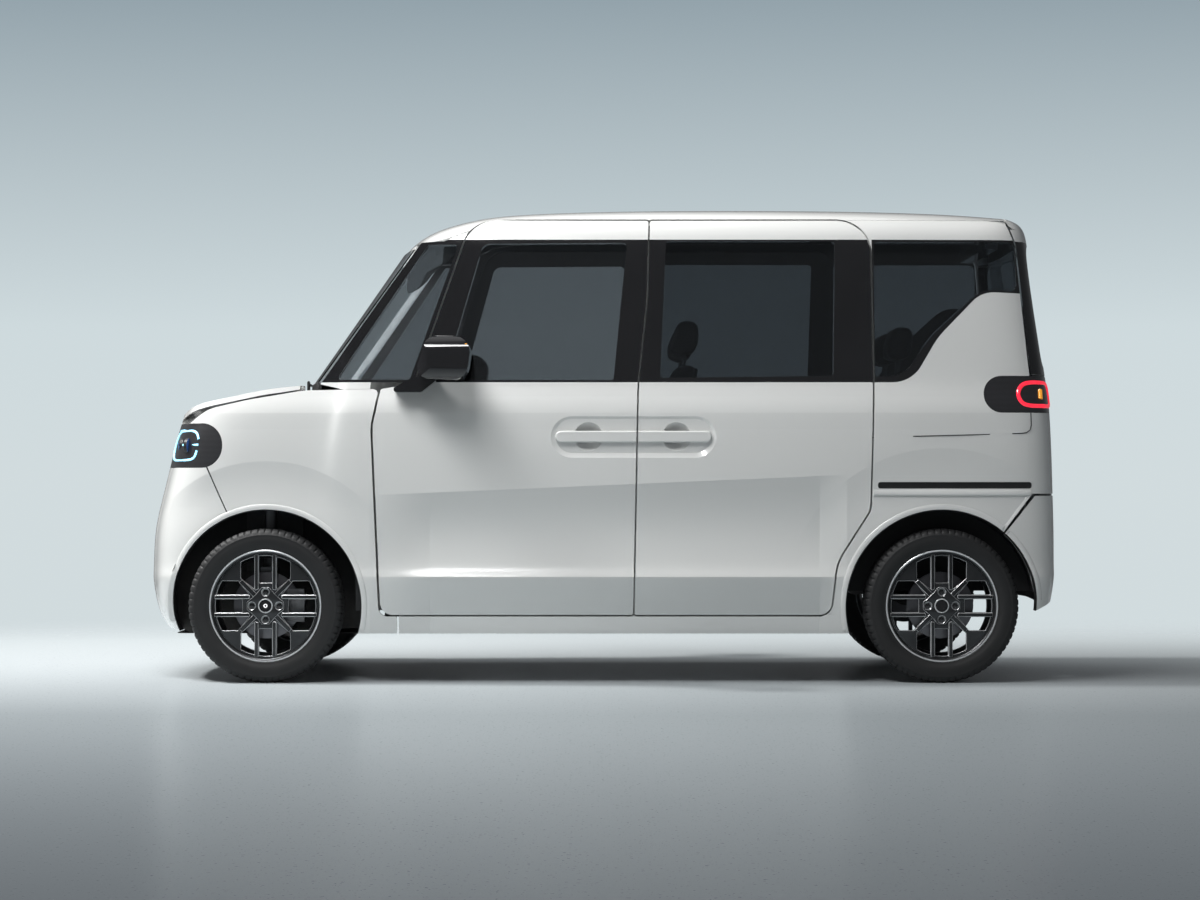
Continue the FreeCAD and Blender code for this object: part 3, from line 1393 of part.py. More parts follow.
def rear_bench():
    half = tub_inner - panel_gap
    cushion = slab(bench_shares, -half, half)
    back = slab(bench_back_shares, -half, half)
    base = slab(bench_base_shares, -half * 0.9, half * 0.9)
    heads = []
    shift = station(bench_head_share) - station(head_shares[1][0])
    drop = level(bench_back_shares[1][1]) - level(back_shares[1][1])
    for side in (-1, 1):
        middle = side * half / 2
        head = slab(head_shares, middle - half * 0.24, middle + half * 0.24)
        posts = slab(post_shares, middle - half * 0.12, middle + half * 0.12)
        for shape in (head, posts):
            shape.translate(V(shift, 0, drop))
            heads.append(shape)
    return fused(cushion, back, base, *heads)


dash_shares = [
    (1.1421, 0.660, 0.2), (1.1421, 0.985, 0.1), (1.200, 0.975, 0.6), (1.236, 0.900, 0.8), (1.215, 0.720, 0.6),
]
driver_y = 325.0
wheel_ring = 178.0
ring_section = 14.0
column_radius = 30.0
column_tilt = 24.0
hub_boss = 52.0
column_length = 130.0
wheel_share = (1.262, 0.905)
wheel_centre = V(station(wheel_share[0]), driver_y, level(wheel_share[1]))
column_line = V(-math.cos(math.radians(column_tilt)), 0, -math.sin(math.radians(column_tilt)))


def dashboard_panel():
    dash = side_prism(on_body(dash_shares), -cabin_half + overrun, cabin_half - overrun)
    boss_start = wheel_centre + column_line * (hub_boss + running_gap)
    boss = rod(boss_start, wheel_centre + column_line * (column_length + hub_boss), column_radius * 1.4)
    dash = dash.fuse(boss)
    bore = rod(wheel_centre, wheel_centre + column_line * (column_length + running_gap),
               column_radius / 2 + running_gap)
    return dash.cut(bore)


def steering_wheel_shape():
    ring = Part.makeTorus(wheel_ring, ring_section)
    boss = Part.makeCylinder(hub_boss, hub_boss * 0.7, V(0, 0, -hub_boss * 0.9))
    parts = [boss]
    for angle in (0, 180, 270):
        spoke = block(hub_boss * 0.6, wheel_ring, -ring_section, ring_section, -hub_boss * 0.5,
                      -ring_section * 0.2)
        spoke.rotate(V(0, 0, 0), V(0, 0, 1), angle)
        parts.append(spoke)
    shaft = Part.makeCylinder(column_radius / 2, column_length, V(0, 0, -column_length))
    wheel = ring.fuse(parts + [shaft]).removeSplitter()
    wheel.rotate(V(0, 0, 0), V(0, 0, 1), 90)
    wheel.rotate(V(0, 0, 0), V(0, 1, 0), 90 - column_tilt)
    wheel.translate(wheel_centre)
    return wheel


def build():
    os.makedirs("parts", exist_ok=True)
    pairs = {
        "side_frame": side_frame_left(),
        "front_door": front_door_left(),
        "slide_door": slide_door_left(),
        "fender": fender_left(),
        "mirror": mirror_left(),
        "knuckle": knuckle_left(),
        "front_door_glass": glass_pane(front_glass),
        "front_sash": sash_cover(front_door, front_glass),
        "door_handle": handle_bar(front_door),
    }
    for name, shape in pairs.items():
        write(name + "_l", shape)
        write(name + "_r", mirrored(shape))
    tyre, wheel = tyre_shape(), wheel_shape()
    for end, axle in (("front", front_axle), ("rear", rear_axle)):
        for name, shape in (("tyre", tyre), ("wheel", wheel)):
            placed = on_axle(shape, axle)
            write(name + "_" + end + "_l", placed)
            write(name + "_" + end + "_r", mirrored(placed))
    write("roof", roof_panel())
    write("slide_sashes", both_sides(sash_cover(slide_door, slide_glass)))
    write("slide_handles", both_sides(handle_bar(slide_door)))
    write("slide_rails", both_sides(rail_left()))
    covers = pillar_covers()
    write("pillar_covers", Part.Compound(covers + [mirrored(cover) for cover in covers]))
    write("grille", grille_lattice())
    write("tailgate_cover", tailgate_cover())
    write("windscreen", whole(windscreen_left()))
    write("corner_glass", both_sides(glass_pane(corner_glass)))
    write("quarter_glass", both_sides(glass_pane(quarter_glass)))
    write("slide_door_glass", both_sides(glass_pane(slide_glass)))
    write("bonnet", bonnet_panel())
    write("front_bumper", front_bumper_panel())
    write("rear_bumper", rear_bumper_panel())
    write("tailgate", tailgate_panel())
    write("tailgate_glass", tailgate_glass_pane())
    write("headlamps", both_sides(headlamp_left()))
    write("tail_lamps", both_sides(tail_lamp_left()))
    write("cowl", cowl_panel())
    write("wipers", Part.Compound([wiper(y, span) for y, span in zip(wiper_pivots, wiper_spans)]))
    write("front_chassis", whole(front_chassis_left()))
    write("front_liners", both_sides(front_liner_left()))
    write("floor", floor_sheet())
    write("battery", battery_block())
    write("rear_axle", whole(rear_axle_left()))
    write("drive_unit", drive_unit_block())
    write("front_seats", front_seats_pair())
    write("rear_seat", rear_bench())
    write("dashboard", dashboard_panel())
    write("steering_wheel", steering_wheel_shape())


build()
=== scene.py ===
import bpy
import bmesh
import math
from mathutils import Matrix, Vector
from mathutils.bvhtree import BVHTree


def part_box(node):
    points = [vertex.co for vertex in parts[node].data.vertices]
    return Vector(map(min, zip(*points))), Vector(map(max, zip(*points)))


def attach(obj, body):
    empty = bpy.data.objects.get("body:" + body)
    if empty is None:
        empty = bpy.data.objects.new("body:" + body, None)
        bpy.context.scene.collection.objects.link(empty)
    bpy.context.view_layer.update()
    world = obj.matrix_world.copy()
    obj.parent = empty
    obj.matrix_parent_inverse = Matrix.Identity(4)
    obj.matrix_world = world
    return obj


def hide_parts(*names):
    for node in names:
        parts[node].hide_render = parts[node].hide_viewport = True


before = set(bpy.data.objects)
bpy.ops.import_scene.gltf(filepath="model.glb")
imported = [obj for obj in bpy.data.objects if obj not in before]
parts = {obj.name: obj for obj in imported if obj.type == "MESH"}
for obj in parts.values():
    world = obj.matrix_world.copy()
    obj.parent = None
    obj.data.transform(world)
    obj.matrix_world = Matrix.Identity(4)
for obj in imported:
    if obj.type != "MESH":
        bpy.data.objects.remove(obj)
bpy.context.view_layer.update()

# The car's main places, in metres
front_axle, rear_axle, wheelbase = -1.2205, 1.2465, 2.467
hub_height, track_half = 0.281, 0.65
belt_height, roof_rise = 1.097, 0.673
ridge_height, hollow_depth = 0.387, 0.032
flare_inner, flare_dip = 0.372, 0.006
arch_lip_radius, arch_edge_radius = 0.36, 0.3515
skin_side, skin_step = -0.72, 0.012
sides = (("l", -1), ("r", 1))


# Node helpers: feed puts values or links into a node's sockets, by name, or by number as i0, i1
def feed(node, **values):
    for name, value in values.items():
        socket = node.inputs[int(name[1:]) if name[1:].isdigit() else name.replace("_", " ")]
        if isinstance(value, bpy.types.NodeSocket):
            node.id_data.links.new(value, socket)
        else:
            socket.default_value = value
    return node


def place_node(tree, kind, **inputs):
    return feed(tree.nodes.new("ShaderNode" + kind), **inputs)


def maths(tree, operation, a, b=0.0, c=0.0, clamp=False):
    node = place_node(tree, "Math", i0=a, i1=b, i2=c)
    node.operation = operation
    node.use_clamp = clamp
    return node.outputs[0]


def plus(tree, a, b):
    return maths(tree, "ADD", a, b)


def minus(tree, a, b):
    return maths(tree, "SUBTRACT", a, b)


def times(tree, product, *factors):
    for factor in factors:
        product = maths(tree, "MULTIPLY", product, factor)
    return product


# How far a is past b, as a share of the span, from 0 to 1
def share_past(tree, a, b, span):
    return maths(tree, "DIVIDE", minus(tree, a, b), span, clamp=True)


def distance(tree, a, b):
    return maths(tree, "SQRT", plus(tree, times(tree, a, a), times(tree, b, b)))


def half_wave(tree, share):
    return maths(tree, "SINE", times(tree, share, math.pi))


def blend_colour(tree, share, a, b):
    node = tree.nodes.new("ShaderNodeMix")
    node.data_type = "RGBA"
    return feed(node, i0=share, i6=a, i7=b).outputs[2]


def blend_value(tree, share, a, b):
    return place_node(tree, "Mix", i0=share, i2=a, i3=b).outputs[0]


def mixed_shader(tree, share, first, second):
    return place_node(tree, "MixShader", i0=share, i1=first, i2=second).outputs[0]


def noise(tree, scale, detail, **more):
    coords = place_node(tree, "TexCoord").outputs["Object"]
    return place_node(tree, "TexNoise", Vector=coords, Scale=scale, Detail=detail, **more).outputs["Fac"]


# The three numbers of a surface's place ("Object") or direction ("Normal"), in the part's own coordinates
def three_of(tree, output="Object"):
    coords = place_node(tree, "TexCoord").outputs[output]
    return place_node(tree, "SeparateXYZ", Vector=coords).outputs


# How far a face looks away from the car's middle plane
def outward(tree):
    return times(tree, maths(tree, "SIGN", three_of(tree)[1]), three_of(tree, "Normal")[1])


def start_group(name, inputs, outputs):
    group = bpy.data.node_groups.new(name, "ShaderNodeTree")
    for label, value in inputs.items():
        socket = group.interface.new_socket(name=label, in_out="INPUT", socket_type="NodeSocketFloat")
        socket.default_value = value
    for label in outputs:
        group.interface.new_socket(name=label, in_out="OUTPUT", socket_type="NodeSocketFloat")
    return group, group.nodes.new("NodeGroupInput"), group.nodes.new("NodeGroupOutput")


def use_group(tree, group, **inputs):
    node = tree.nodes.new("ShaderNodeGroup")
    node.node_tree = group
    return feed(node, **inputs).outputs


# Inside faces: those that look towards the car's middle
def inside_group():
    group, given, result = start_group("inside faces", {"Level": 0.35}, ["Mask"])
    inward = times(group, outward(group), -1.0)
    feed(result, Mask=maths(group, "GREATER_THAN", inward, given.outputs["Level"]))
    return group


# Wheel well shade: faces near an axle's line that don't look outwards, and the arch's own edge, which the
# paint turns near black as painted shade that also stands in part for arch liners
def well_shade_group():
    group, given, result = start_group("painted arch shade", {"Reach": 0.45}, ["Mask"])
    place, facing = three_of(group), three_of(group, "Normal")
    turned_in = maths(group, "LESS_THAN", outward(group), 0.3)
    well_shades = []
    for hub in (front_axle, rear_axle):
        dx, dz = minus(group, place[0], hub), minus(group, place[2], hub_height)
        radius = distance(group, dx, dz)
        away = plus(group, times(group, dx, facing[0]), times(group, dz, facing[2]))
        near = times(group, maths(group, "LESS_THAN", radius, given.outputs["Reach"]), turned_in,
                     maths(group, "LESS_THAN", away, 0.05))
        well_shades.append(maths(group, "MAXIMUM", near, maths(group, "LESS_THAN", radius, arch_edge_radius)))
    feed(result, Mask=maths(group, "MAXIMUM", *well_shades))
    return group


# Road dust: thickest low down, broken up by noise
def dust_group():
    group, given, result = start_group("road dust", {"Top": 0.45, "Amount": 0.3}, ["Mask"])
    top, amount = given.outputs["Top"], given.outputs["Amount"]
    low = share_past(group, top, three_of(group)[2], top)
    cloud = noise(group, 14.0, 5.0, Roughness=0.65)
    feed(result, Mask=maths(group, "MULTIPLY", times(group, low, cloud), amount, clamp=True))
    return group


# Moulded grain: small cells with a softer cloud between them
def grain_group():
    group, given, result = start_group("moulded grain", {"Scale": 900.0}, ["Height", "Tone"])
    coords = place_node(group, "TexCoord").outputs["Object"]
    cells = place_node(group, "TexVoronoi", Vector=coords, Scale=given.outputs["Scale"])
    feed(result, Height=cells.outputs["Distance"], Tone=noise(group, 22.0, 4.0))
    return group


# Woven cloth: warp and weft threads with a slow colour drift
def weave_group():
    group, given, result = start_group("woven cloth", {"Pitch": 480.0}, ["Height", "Tone"])
    x, y, z = three_of(group)
    threads = []
    for line in (y, x):
        wave = maths(group, "SINE", times(group, plus(group, line, z), given.outputs["Pitch"]))
        threads.append(maths(group, "MULTIPLY_ADD", wave, 0.5, 0.5))
    feed(result, Height=times(group, *threads), Tone=noise(group, 9.0, 4.0))
    return group


# Edge wear: a mask of convex edges, broken up by noise
def wear_group():
    group, given, result = start_group("edge wear", {"Sharpness": 9.0}, ["Mask"])
    pointed = minus(group, place_node(group, "NewGeometry").outputs["Pointiness"], 0.5)
    edge = times(group, pointed, given.outputs["Sharpness"])
    feed(result, Mask=maths(group, "MULTIPLY", edge, noise(group, 60.0, 4.0), clamp=True))
    return group


# Soft creases of the body's sides as a height in metres: wheel flares, the doors' hollow under its slanting
# upper edge, the fall below the doors' lower ridge, and the shoulder under the windows
def body_form_group():
    group, given, result = start_group("body creases", {"Depth": 1.0}, ["Height"])
    x, y, z = three_of(group)
    heights = []
    for hub, outer in ((front_axle, 0.528), (rear_axle, 0.575)):
        radius = distance(group, minus(group, x, hub), minus(group, z, hub_height))
        dip = half_wave(group, share_past(group, outer, radius, outer - flare_inner))
        heights.append(times(group, dip, -flare_dip, share_past(group, z, 0.42, 0.22)))
    along = maths(group, "DIVIDE", plus(group, x, 0.82), 1.75)
    edge = maths(group, "MULTIPLY_ADD", along, 0.075, 0.685)
    doors = times(group, share_past(group, x, -0.84, 0.22), share_past(group, 0.9, x, 0.1))
    hollow = half_wave(group, share_past(group, edge, z, minus(group, edge, ridge_height)))
    heights.append(times(group, hollow, -hollow_depth, doors))
    heights.append(times(group, share_past(group, ridge_height, z, 0.14), -0.05, doors))
    crease = maths(group, "DIVIDE", maths(group, "ABSOLUTE", minus(group, z, 0.985)), 0.06)
    heights.append(times(group, maths(group, "SUBTRACT", 1.0, crease, clamp=True), 0.0022))
    total = heights[0]
    for height in heights[1:]:
        total = plus(group, total, height)
    sideways = maths(group, "GREATER_THAN", maths(group, "ABSOLUTE", three_of(group, "Normal")[1]), 0.6)
    feed(result, Height=times(group, total, sideways, given.outputs["Depth"]))
    return group


body_form = body_form_group()
inside_faces = inside_group()
wheel_well_shade = well_shade_group()
road_dust = dust_group()
moulded_grain = grain_group()
woven_cloth = weave_group()
edge_wear = wear_group()


def start_finish(name, **values):
    finish = bpy.data.materials.new(name)
    finish.use_nodes = True
    tree = finish.node_tree
    return finish, tree, feed(tree.nodes["Principled BSDF"], **values)


# A colour made lighter or darker
def toned(colour, gain, lift=0.0):
    return tuple(min(1, c * gain + lift) for c in colour[:3]) + (1,)


def bumped(tree, shader, height, strength, depth):
    bump = place_node(tree, "Bump", Strength=strength, Distance=depth, Height=height)
    feed(shader, Normal=bump.outputs["Normal"])


# Paint over steel: white outside, moulded trim on faces that look into the cabin, and near black in the wheel
# wells as painted shade that also stands in part for arch liners
def paint_finish(name, colour, inner):
    finish, tree, shader = start_finish(name, Coat_Roughness=0.04, IOR=1.5)
    inside = use_group(tree, inside_faces, Level=0.5)["Mask"]
    dust = use_group(tree, road_dust, Top=0.4, Amount=0.12)["Mask"]
    well_shade = use_group(tree, wheel_well_shade, Reach=0.45)["Mask"]
    tone = blend_colour(tree, times(tree, noise(tree, 3.0, 3.0), 0.25), colour, toned(colour, 0.96))
    lined = blend_colour(tree, inside, blend_colour(tree, dust, tone, (0.42, 0.4, 0.36, 1)), inner)
    trim_and_well_shade = maths(tree, "MAXIMUM", inside, well_shade)
    # Near black in the wheel wells and on the arch's edge: painted shade, standing in part for arch liners
    feed(shader, Base_Color=blend_colour(tree, well_shade, lined, (0.01, 0.01, 0.011, 1)),
         Roughness=blend_value(tree, trim_and_well_shade, blend_value(tree, dust, 0.22, 0.6), 0.62),
         Coat_Weight=blend_value(tree, trim_and_well_shade, 1.0, 0.0))
    form = use_group(tree, body_form, Depth=1.0)["Height"]
    creases = place_node(tree, "Bump", Strength=1.0, Distance=1.0, Height=form).outputs["Normal"]
    peel = place_node(tree, "Bump", Strength=0.02, Distance=0.0004, Height=noise(tree, 420.0, 2.0),
                      Normal=creases)
    feed(shader, Normal=peel.outputs["Normal"])
    return finish


def moulded_finish(name, colour, rough, grain=900.0, strength=0.25, dust=0.25):
    finish, tree, shader = start_finish(name, IOR=1.47)
    surface = use_group(tree, moulded_grain, Scale=grain)
    mask = use_group(tree, road_dust, Top=0.6, Amount=dust)["Mask"]
    tone = blend_colour(tree, surface["Tone"], colour, toned(colour, 1.35, 0.004))
    feed(shader, Base_Color=blend_colour(tree, mask, tone, (0.23, 0.21, 0.19, 1)),
         Roughness=blend_value(tree, surface["Tone"], rough * 0.88, min(1.0, rough * 1.12)))
    bumped(tree, shader, surface["Height"], strength, 0.0004)
    return finish


def gloss_finish(name, colour, rough=0.09):
    finish, tree, shader = start_finish(name, Coat_Weight=0.6, Coat_Roughness=0.03, IOR=1.5)
    smear = noise(tree, 7.0, 6.0)
    feed(shader, Base_Color=blend_colour(tree, smear, colour, toned(colour, 1.5, 0.002)),
         Roughness=blend_value(tree, smear, rough * 0.7, rough * 1.5))
    return finish


def metal_finish(name, colour, rough, metallic=1.0, wear=0.4, dust=0.2):
    finish, tree, shader = start_finish(name, Metallic=metallic)
    worn = use_group(tree, edge_wear, Sharpness=wear * 20)["Mask"]
    mask = use_group(tree, road_dust, Top=0.6, Amount=dust)["Mask"]
    cast = noise(tree, 160.0, 5.0)
    tone = blend_colour(tree, worn, colour, toned(colour, 1.6, 0.05))
    feed(shader, Base_Color=blend_colour(tree, mask, tone, (0.2, 0.18, 0.16, 1)),
         Roughness=blend_value(tree, cast, rough * 0.75, min(1.0, rough * 1.25)))
    bumped(tree, shader, cast, 0.15, 0.0005)
    return finish


# Glass passes shadow rays, so that the lamps reach the cabin
def glass_finish(name, tint):
    finish, tree, shader = start_finish(name, Transmission_Weight=1.0, IOR=1.45, Metallic=0.0)
    film = noise(tree, 5.0, 5.0)
    tone = blend_colour(tree, film, tint, toned(tint, 0.97))
    feed(shader, Base_Color=tone, Roughness=blend_value(tree, film, 0.0, 0.008))
    shadow = place_node(tree, "LightPath").outputs["Is Shadow Ray"]
    clear = place_node(tree, "BsdfTransparent", Color=tone).outputs[0]
    feed(tree.nodes["Material Output"], Surface=mixed_shader(tree, shadow, shader.outputs[0], clear))
    return finish


def cloth_finish(name, colour, pitch=480.0):
    finish, tree, shader = start_finish(name, Sheen_Weight=0.35, Sheen_Roughness=0.5)
    weave = use_group(tree, woven_cloth, Pitch=pitch)
    tone = blend_colour(tree, weave["Height"], colour, toned(colour, 1.7, 0.01))
    feed(shader, Base_Color=blend_colour(tree, times(tree, weave["Tone"], 0.4), tone, colour),
         Roughness=blend_value(tree, weave["Height"], 0.92, 0.78))
    bumped(tree, shader, weave["Height"], 0.35, 0.0006)
    return finish


# Lit lamp parts, and the projector lens's blue glow, which is a painted sheen
def glowing(name, colour, strength, rough=0.12):
    finish, tree, shader = start_finish(name, Coat_Weight=0.7, Coat_Roughness=0.04, Roughness=rough)
    drift = noise(tree, 55.0, 3.0)
    tone = blend_colour(tree, drift, colour, toned(colour, 1.08, 0.02))
    feed(shader, Base_Color=tone, Emission_Color=tone,
         Emission_Strength=blend_value(tree, drift, strength * 0.85, strength * 1.1))
    return finish


# Lamp housing: gloss black with fine level ribs, their crests painted lighter as a painted highlight
def ribbed_finish(name, colour, pitch):
    finish, tree, shader = start_finish(name, Coat_Weight=1.0, Coat_Roughness=0.02, Roughness=0.35)
    wave = maths(tree, "SINE", times(tree, three_of(tree)[2], math.tau / pitch))
    rib = maths(tree, "MULTIPLY_ADD", wave, 0.5, 0.5)
    # Lighter colour on the rib crests: painted highlight
    feed(shader, Base_Color=blend_colour(tree, rib, colour, toned(colour, 4, 0.006)))
    bumped(tree, shader, rib, 0.5, 0.0008)
    return finish


white_paint = paint_finish("white paint", (0.74, 0.745, 0.73, 1), (0.045, 0.045, 0.048, 1))
gloss_black = gloss_finish("gloss black", (0.008, 0.008, 0.009, 1))
satin_black = moulded_finish("satin black plastic", (0.018, 0.018, 0.019, 1), 0.42, 1400.0, 0.12)
liner_black = moulded_finish("arch liner", (0.014, 0.014, 0.015, 1), 0.78, 500.0, 0.5, 0.5)
trim_grey = moulded_finish("cabin trim", (0.035, 0.036, 0.039, 1), 0.55, 1100.0, 0.25, 0.0)
chassis_black = metal_finish("chassis black", (0.02, 0.02, 0.021, 1), 0.5, 0.2, 0.3, 0.4)
bare_steel = metal_finish("bare steel", (0.16, 0.16, 0.165, 1), 0.5)
cast_metal = metal_finish("cast aluminium", (0.42, 0.43, 0.44, 1), 0.5)
wheel_metal = metal_finish("wheel metal", (0.055, 0.057, 0.06, 1), 0.34, 0.85, 0.5, 0.05)
bright_metal = metal_finish("machined metal", (0.74, 0.75, 0.76, 1), 0.3, 0.55, 0.2, 0.05)
clear_glass = glass_finish("front glass", (0.88, 0.9, 0.91, 1))
smoked_glass = glass_finish("smoked side glass", (0.33, 0.345, 0.36, 1))
privacy_glass = glass_finish("privacy glass", (0.19, 0.205, 0.22, 1))
seat_cloth = cloth_finish("seat cloth", (0.022, 0.022, 0.024, 1))
carpet = cloth_finish("carpet", (0.03, 0.03, 0.032, 1), 900.0)
rubber = moulded_finish("tyre rubber", (0.0075, 0.0078, 0.0085, 1), 0.62, 700.0, 0.25, 0.05)
disc_steel = metal_finish("brake disc steel", (0.13, 0.13, 0.14, 1), 0.35, 1.0, 0.2, 0.2)
piping = moulded_finish("seat piping", (0.05, 0.05, 0.055, 1), 0.5, 1500.0, 0.1, 0.0)
guide_white = glowing("white light guide", (0.3, 0.72, 1.0, 1), 1.7)
guide_red = glowing("red light guide", (0.8, 0.01, 0.035, 1), 1.1)
guide_amber = glowing("amber lens", (0.85, 0.33, 0.02, 1), 0.5)
# The projector lens glows blue as a painted sheen, a reflection in its glass rather than a lit lamp
lens_blue_sheen = glowing("projector lens sheen", (0.02, 0.09, 0.3, 1), 0.25, 0.03)
lamp_black = ribbed_finish("ribbed lamp housing", (0.006, 0.006, 0.007, 1), 0.0045)


# Which CAD node takes which finish
def left_right(*names):
    return [name + "_" + tag for name in names for tag, side in sides]


node_finishes = [
    (white_paint, ["bonnet", "front_bumper", "rear_bumper", "roof", "tailgate", "slide_handles",
                   *left_right("fender", "side_frame", "front_door", "slide_door", "door_handle")]),
    (gloss_black, ["pillar_covers", "slide_sashes", "tailgate_cover", *left_right("front_sash", "mirror")]),
    (lamp_black, ["headlamps", "tail_lamps"]),
    (satin_black, ["cowl", "wipers", "grille", "slide_rails"]),
    (liner_black, ["front_liners"]),
    (chassis_black, ["front_chassis", "rear_axle"]),
    (bare_steel, left_right("knuckle")),
    (cast_metal, ["drive_unit", "battery"]),
    (wheel_metal, left_right("wheel_front", "wheel_rear")),
    (rubber, left_right("tyre_front", "tyre_rear")),
    (clear_glass, ["windscreen"]),
    (smoked_glass, ["corner_glass", *left_right("front_door_glass")]),
    (privacy_glass, ["slide_door_glass", "quarter_glass", "tailgate_glass"]),
    (trim_grey, ["dashboard", "steering_wheel"]),
    (seat_cloth, ["front_seats", "rear_seat"]),
    (carpet, ["floor"]),
]
for finish, names in node_finishes:
    for name in names:
        for slot in parts[name].material_slots:
            slot.material = finish


# The faces of some nodes, for rays to meet
def skin(names):
    points, faces = [], []
    for name in names:
        start = len(points)
        mesh = parts[name].data
        points += [vertex.co.copy() for vertex in mesh.vertices]
        faces += [[start + i for i in face.vertices] for face in mesh.polygons]
    return BVHTree.FromPolygons(points, faces)


# Where a level ray meets the skin: from the left side, and from the front or the tail
def side_depth(tree, x, z):
    hit = tree.ray_cast(Vector((x, -3, z)), Vector((0, 1, 0)))[0]
    return hit.y if hit else None


def end_depth(tree, y, z, tail):
    start, aim = (3, -1) if tail else (-3, 1)
    hit = tree.ray_cast(Vector((start, y, z)), Vector((aim, 0, 0)))[0]
    return hit.x if hit else None


def place_piece(name, data, finishes, body):
    piece = bpy.data.objects.new(name, data)
    bpy.context.scene.collection.objects.link(piece)
    for finish in finishes if isinstance(finishes, list) else [finishes]:
        data.materials.append(finish)
    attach(piece, body)
    return piece


# Mesh helpers
def shade(mesh, angle=35):
    mesh.polygons.foreach_set("use_smooth", [True] * len(mesh.polygons))
    mesh.set_sharp_from_angle(angle=math.radians(angle))
    return mesh


def reworked(mesh, *steps):
    form = bmesh.new()
    form.from_mesh(mesh)
    for step in steps:
        step(form)
    form.to_mesh(mesh)
    form.free()
    return mesh


def faced_out(form):
    bmesh.ops.recalc_face_normals(form, faces=form.faces)


def welded(form):
    bmesh.ops.remove_doubles(form, verts=form.verts, dist=1e-6)


def smoothed(form):
    bmesh.ops.smooth_vert(form, verts=form.verts, factor=0.5, use_axis_x=True, use_axis_y=True,
                          use_axis_z=True)


def make_mesh(name, points, faces, angle=35):
    mesh = bpy.data.meshes.new(name)
    mesh.from_pydata([tuple(p) for p in points], [], faces)
    mesh.validate()
    return shade(reworked(mesh, faced_out), angle)


def joined(name, meshes):
    form = bmesh.new()
    for mesh in meshes:
        form.from_mesh(mesh)
    whole = bpy.data.meshes.new(name)
    form.to_mesh(whole)
    form.free()
    for mesh in meshes:
        bpy.data.meshes.remove(mesh)
    return shade(whole)


def painted(mesh, index, test=None):
    for face in mesh.polygons:
        if test is None or test(face):
            face.material_index = index
    return mesh


def moved(mesh, matrix):
    mesh.transform(matrix)
    if matrix.determinant() < 0:
        mesh.flip_normals()
    return mesh


mirror_y = Matrix.Diagonal((1, -1, 1, 1))


def both_sides(name, build, finish):
    for tag, side in sides:
        mesh = build() if side < 0 else moved(build(), mirror_y)
        place_piece(name + "_" + tag, mesh, finish, "shell")


# A closed line with rounded corners, from (x, y, radius)
def rounded(corners):
    line, steps, count = [], 5, len(corners)
    for i, corner in enumerate(corners):
        before, here, after = (Vector(corners[(i + k) % count][:2]) for k in (-1, 0, 1))
        to_before, to_after = (before - here).normalized(), (after - here).normalized()
        half = to_before.angle(to_after) / 2
        reach = min(corner[2] / max(math.tan(half), 1e-3), (before - here).length * 0.49,
                    (after - here).length * 0.49)
        if corner[2] <= 0 or reach < 1e-5:
            line.append(tuple(here))
            continue
        start, stop = here + to_before * reach, here + to_after * reach
        for k in range(steps + 1):
            t = k / steps
            line.append(tuple(start * (1 - t) ** 2 + here * 2 * t * (1 - t) + stop * t ** 2))
    return line


def circle(radius, count, x=0.0, y=0.0):
    turns = [math.tau * k / count for k in range(count)]
    return [(x + radius * math.cos(turn), y + radius * math.sin(turn)) for turn in turns]


# A flat plate with holes and rounded edges, in the XY plane with its middle at z = 0
def plate(loops, half_thick, round_edge, resolution=2):
    line = bpy.data.curves.new("plate", "CURVE")
    line.dimensions = "2D"
    line.fill_mode = "BOTH"
    line.extrude = max(half_thick - round_edge, 0)
    line.bevel_depth = round_edge
    line.bevel_resolution = resolution
    line.offset = -round_edge
    for loop in loops:
        spline = line.splines.new("POLY")
        spline.points.add(len(loop) - 1)
        for point, (x, y) in zip(spline.points, loop):
            point.co = (x, y, 0, 1)
        spline.use_cyclic_u = True
    holder = bpy.data.objects.new("plate", line)
    mesh = bpy.data.meshes.new_from_object(holder)
    mesh.materials.clear()
    bpy.data.objects.remove(holder)
    bpy.data.curves.remove(line)
    return reworked(mesh, welded, faced_out)


# Faces between turned copies of a closed profile
def ring_faces(count, steps):
    faces = []
    for k in range(steps):
        a, b = k * count, (k + 1) % steps * count
        faces += [(a + i, a + (i + 1) % count, b + (i + 1) % count, b + i) for i in range(count)]
    return faces


# A closed profile of (radius, height) turned about Z
def turned(profile, steps):
    points = [(r * math.cos(math.tau * k / steps), r * math.sin(math.tau * k / steps), h)
              for k in range(steps) for r, h in profile]
    return make_mesh("turned", points, ring_faces(len(profile), steps))


def tube(name, points, radius, finish, body, closed=False, smooth=True):
    line = bpy.data.curves.new(name, "CURVE")
    line.dimensions = "3D"
    line.bevel_depth = radius
    line.bevel_resolution = 3
    line.use_fill_caps = True
    spline = line.splines.new("NURBS" if smooth else "POLY")
    spline.points.add(len(points) - 1)
    for point, place in zip(spline.points, points):
        point.co = (*place, 1)
    spline.use_cyclic_u = closed
    if smooth:
        spline.order_u = 3
        spline.use_endpoint_u = not closed
        spline.resolution_u = 4
    return place_piece(name, line, finish, body)


# Faces of a strip: count copies of an open profile of width points
def strip_faces(count, width):
    starts = range(0, (count - 1) * width, width)
    return [(a + k, a + k + 1, a + width + k + 1, a + width + k) for a in starts for k in range(width - 1)]


